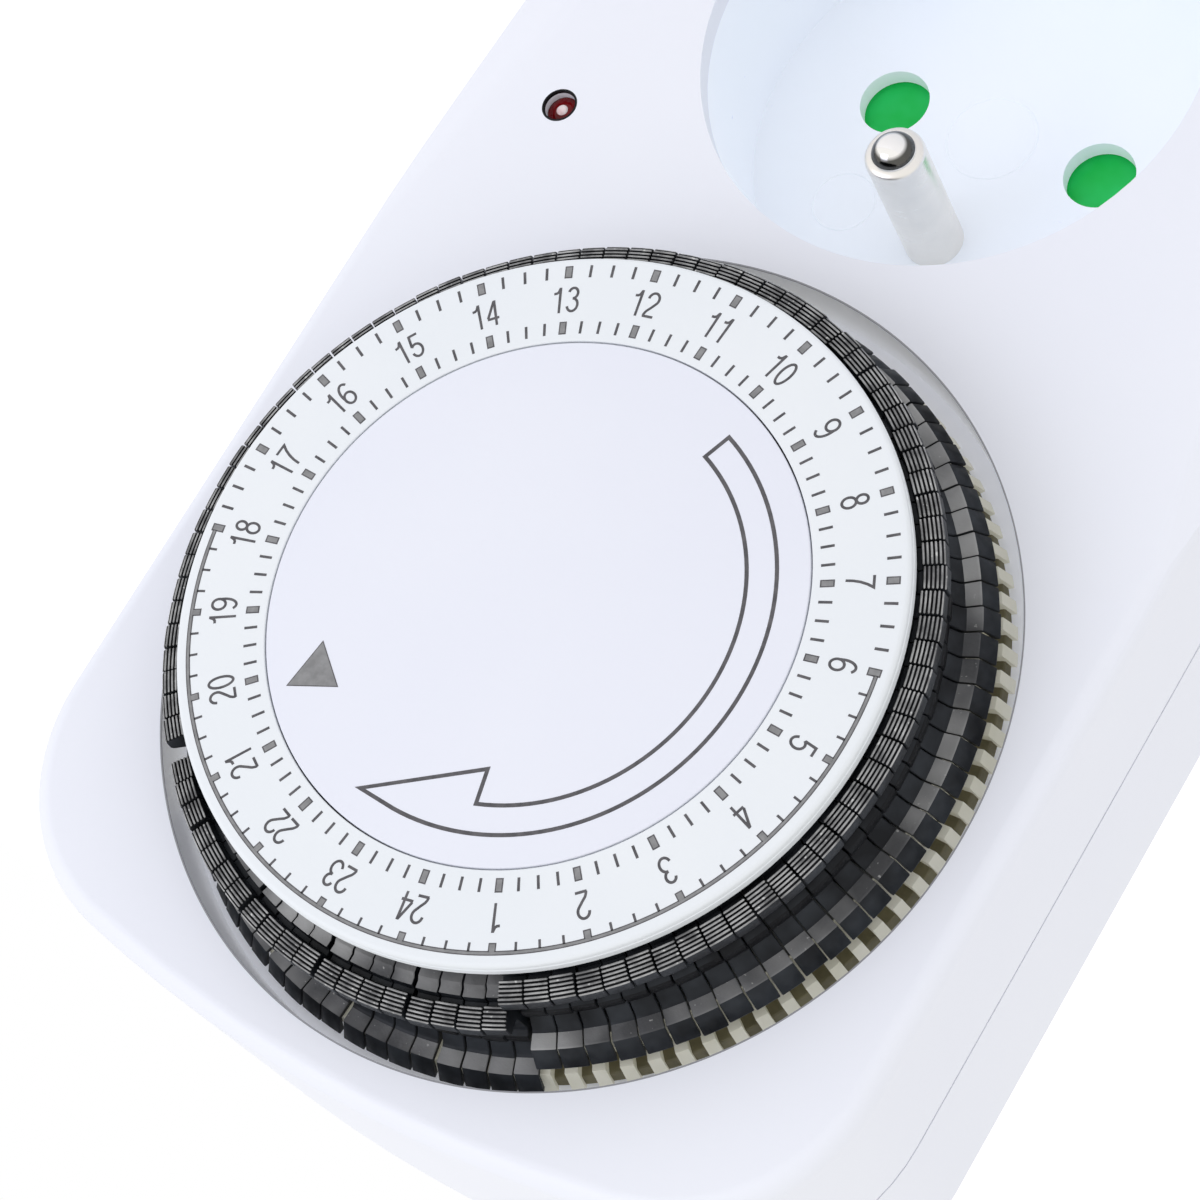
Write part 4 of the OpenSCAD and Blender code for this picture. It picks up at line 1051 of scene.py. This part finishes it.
# the dark ring round the tip's bright middle is a painted reflection
BRIGHT_R, DARK_REFLECTION_WIDE = 1.02, 0.26
DARK_REFLECTION_COLOUR = (0.10, 0.098, 0.09, 1)
tip_tree, tip_shader, bright = base_of(finishes["tip"])
dark_reflection_share = ramp(tip_tree, radius_from(tip_tree, pin_centre), BRIGHT_R * MM, 1 / (DARK_REFLECTION_WIDE * MM))
feed(tip_tree, mixed(tip_tree, dark_reflection_share, bright, DARK_REFLECTION_COLOUR), tip_shader.inputs["Base Color"])
print("finishes", len(finishes))

# %% [markdown]
# ## The lamp's lens
# The lens is a clear red plastic: a little transmission keeps it deep, and a smooth skin gives
# it the hard small highlight. It takes its drift of red and its gloss from the shared groups.

# %% Clear red plastic
finishes["lens_red"], lens_tree, lens_shader = new_finish("lens_clear_red")
reds = placed(lens_tree, tone, {
    "Colour": (0.20, 0.001, 0.003, 1), "Second": (0.11, 0.001, 0.002, 1),
    "Speck": (0.05, 0.001, 0.002, 1), "Scale": 900, "Speck Amount": 0.12})
feed(lens_tree, reds["Colour"], lens_shader.inputs["Base Color"])
lens_skin = placed(lens_tree, grain, {"Roughness": 0.12})
feed(lens_tree, lens_skin["Roughness"], lens_shader.inputs["Roughness"])
for label, value in (("Transmission Weight", 0.25), ("IOR", 1.49), ("Specular IOR Level", 0.2)):
    lens_shader.inputs[label].default_value = value
print("lens inputs", [s.name for s in lens_shader.inputs if s.is_linked])

# %% [markdown]
# ## Who wears what
# Each slot of the part has one finish. The nodes that still show their own mesh get it on their
# material slot, and so do the new pieces. The segments have four finishes on one piece, chosen
# face by face: grip, ledge and skirt, and a crest on each rib that carries a painted highlight.
# The pin has two.

# %% Finishes on nodes and pieces


def dress(thing, *names):
    """Gives an object's mesh these finishes; where it has several, its zones choose among them."""
    slots = thing.data.materials
    slots.clear()
    for name in names:
        slots.append(finishes[name])
    if len(names) > 1:
        thing.data.polygons.foreach_set("material_index", zones_of_piece[thing.name])


for node, thing in frame["nodes"].items():
    dress(thing, slot_of_node[node])
for piece in pieces_made.values():
    dress(piece, piece["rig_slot"])
for piece in segment_pieces:
    dress(piece, "grip", "ledge", "segment_black", "crest")
dress(earth_pin, "nickel", "tip")
for piece, finish in ((tick_print, "ink"), (tick_fill, "ink_grey"), (figures, "ink"),
                      (arrow_print, "ink"), (pointer_fill, "ink_grey"), (pointer_edge, "ink"),
                      (lens_spot, "spot_highlight"), (lamp_rim, "grip"), (drum_foot, "olive")):
    dress(piece, finish)
print("dressed", len(frame["nodes"]), "nodes and", len(pieces_made), "pieces")

# %% [markdown]
# ## The floor
# The part stands on its socket end on a pale round floor. The floor glows a little for the
# camera alone, so that it looks pale and still keeps the part's shadow. A camera below the floor
# looks through it, so that the part can be seen from underneath too.

# %% Pale floor
FLOOR_R = 1.6
floor_z = cad_box[0].z - 0.0002
floor_turn = np.arange(96) * 2 * math.pi / 96
floor_rings = np.array((0.0, 0.1, 0.4, 1.0))[:, None] * FLOOR_R
floor_points = np.stack((floor_rings * np.cos(floor_turn), floor_rings * np.sin(floor_turn),
                         np.full((4, 96), floor_z)), -1).reshape(-1, 3)
floor_faces = grid_quads(4, 96, False, True)[:, ::-1]
floor_mesh = bpy.data.meshes.new("studio_floor")
floor_mesh.from_pydata(floor_points.tolist(), [], floor_faces.tolist())
floor = add_object("studio_floor", floor_mesh)
floor_finish, floor_tree, floor_shader = new_finish("floor_pale")
for label, value in (("Base Color", (0.9, 0.9, 0.91, 1)), ("Roughness", 0.8),
                     ("Emission Color", (1, 1, 1, 1))):
    floor_shader.inputs[label].default_value = value
by_camera = floor_tree.nodes.new("ShaderNodeLightPath").outputs["Is Camera Ray"]
from_below = floor_tree.nodes.new("ShaderNodeNewGeometry").outputs["Backfacing"]
feed(floor_tree, maths(floor_tree, "MULTIPLY", by_camera, 0.3), floor_shader.inputs["Emission Strength"])
clear = maths(floor_tree, "MULTIPLY", from_below, by_camera)
feed(floor_tree, maths(floor_tree, "SUBTRACT", 1.0, clear), floor_shader.inputs["Alpha"])
floor_mesh.materials.append(floor_finish)
print("floor at", round(floor_z, 4))

# %% [markdown]
# ## World and light
# The world is white to the camera, to glossy and to transmission rays, and a touch darker as a
# light, so that metal mirrors the white studio while pale plastic doesn't burn out. One large
# soft lamp, a little blue, gives the forms a side.

# %% White world and a soft lamp
WORLD_LIGHT = 0.97
world = bpy.data.worlds.new("white_studio")
bpy.context.scene.world = world
world.use_nodes = True
world_tree = world.node_tree
background = world_tree.nodes["Background"]
background.inputs["Color"].default_value = (1, 1, 1, 1)
rays = world_tree.nodes.new("ShaderNodeLightPath").outputs
seen = maths(world_tree, "MAXIMUM", rays["Is Camera Ray"],
             maths(world_tree, "MAXIMUM", rays["Is Glossy Ray"], rays["Is Transmission Ray"]))
feed(world_tree, maths(world_tree, "MAXIMUM", seen, WORLD_LIGHT), background.inputs["Strength"])


def soft_lamp(name, place, target, size, power, colour):
    """A square lamp at a place, turned so that its back axis points away from the target."""
    data = bpy.data.lights.new(name, "AREA")
    data.energy, data.size, data.color = power, size, colour
    away = np.array(place) - np.array(target)
    away /= np.linalg.norm(away)
    right = np.cross((0, 0, 1), away)
    right /= np.linalg.norm(right)
    rows = np.stack((right, np.cross(away, right), away, place), -1)
    add_object(name, data).matrix_world = Matrix([*rows.tolist(), (0, 0, 0, 1)])


soft_lamp("key_lamp", (0.35, -0.6, 0.55), (0.0, -0.03, 0.03), 0.5, 1.32, (0.80, 0.82, 1.0))
print("studio ready, lights", len(bpy.data.lights))
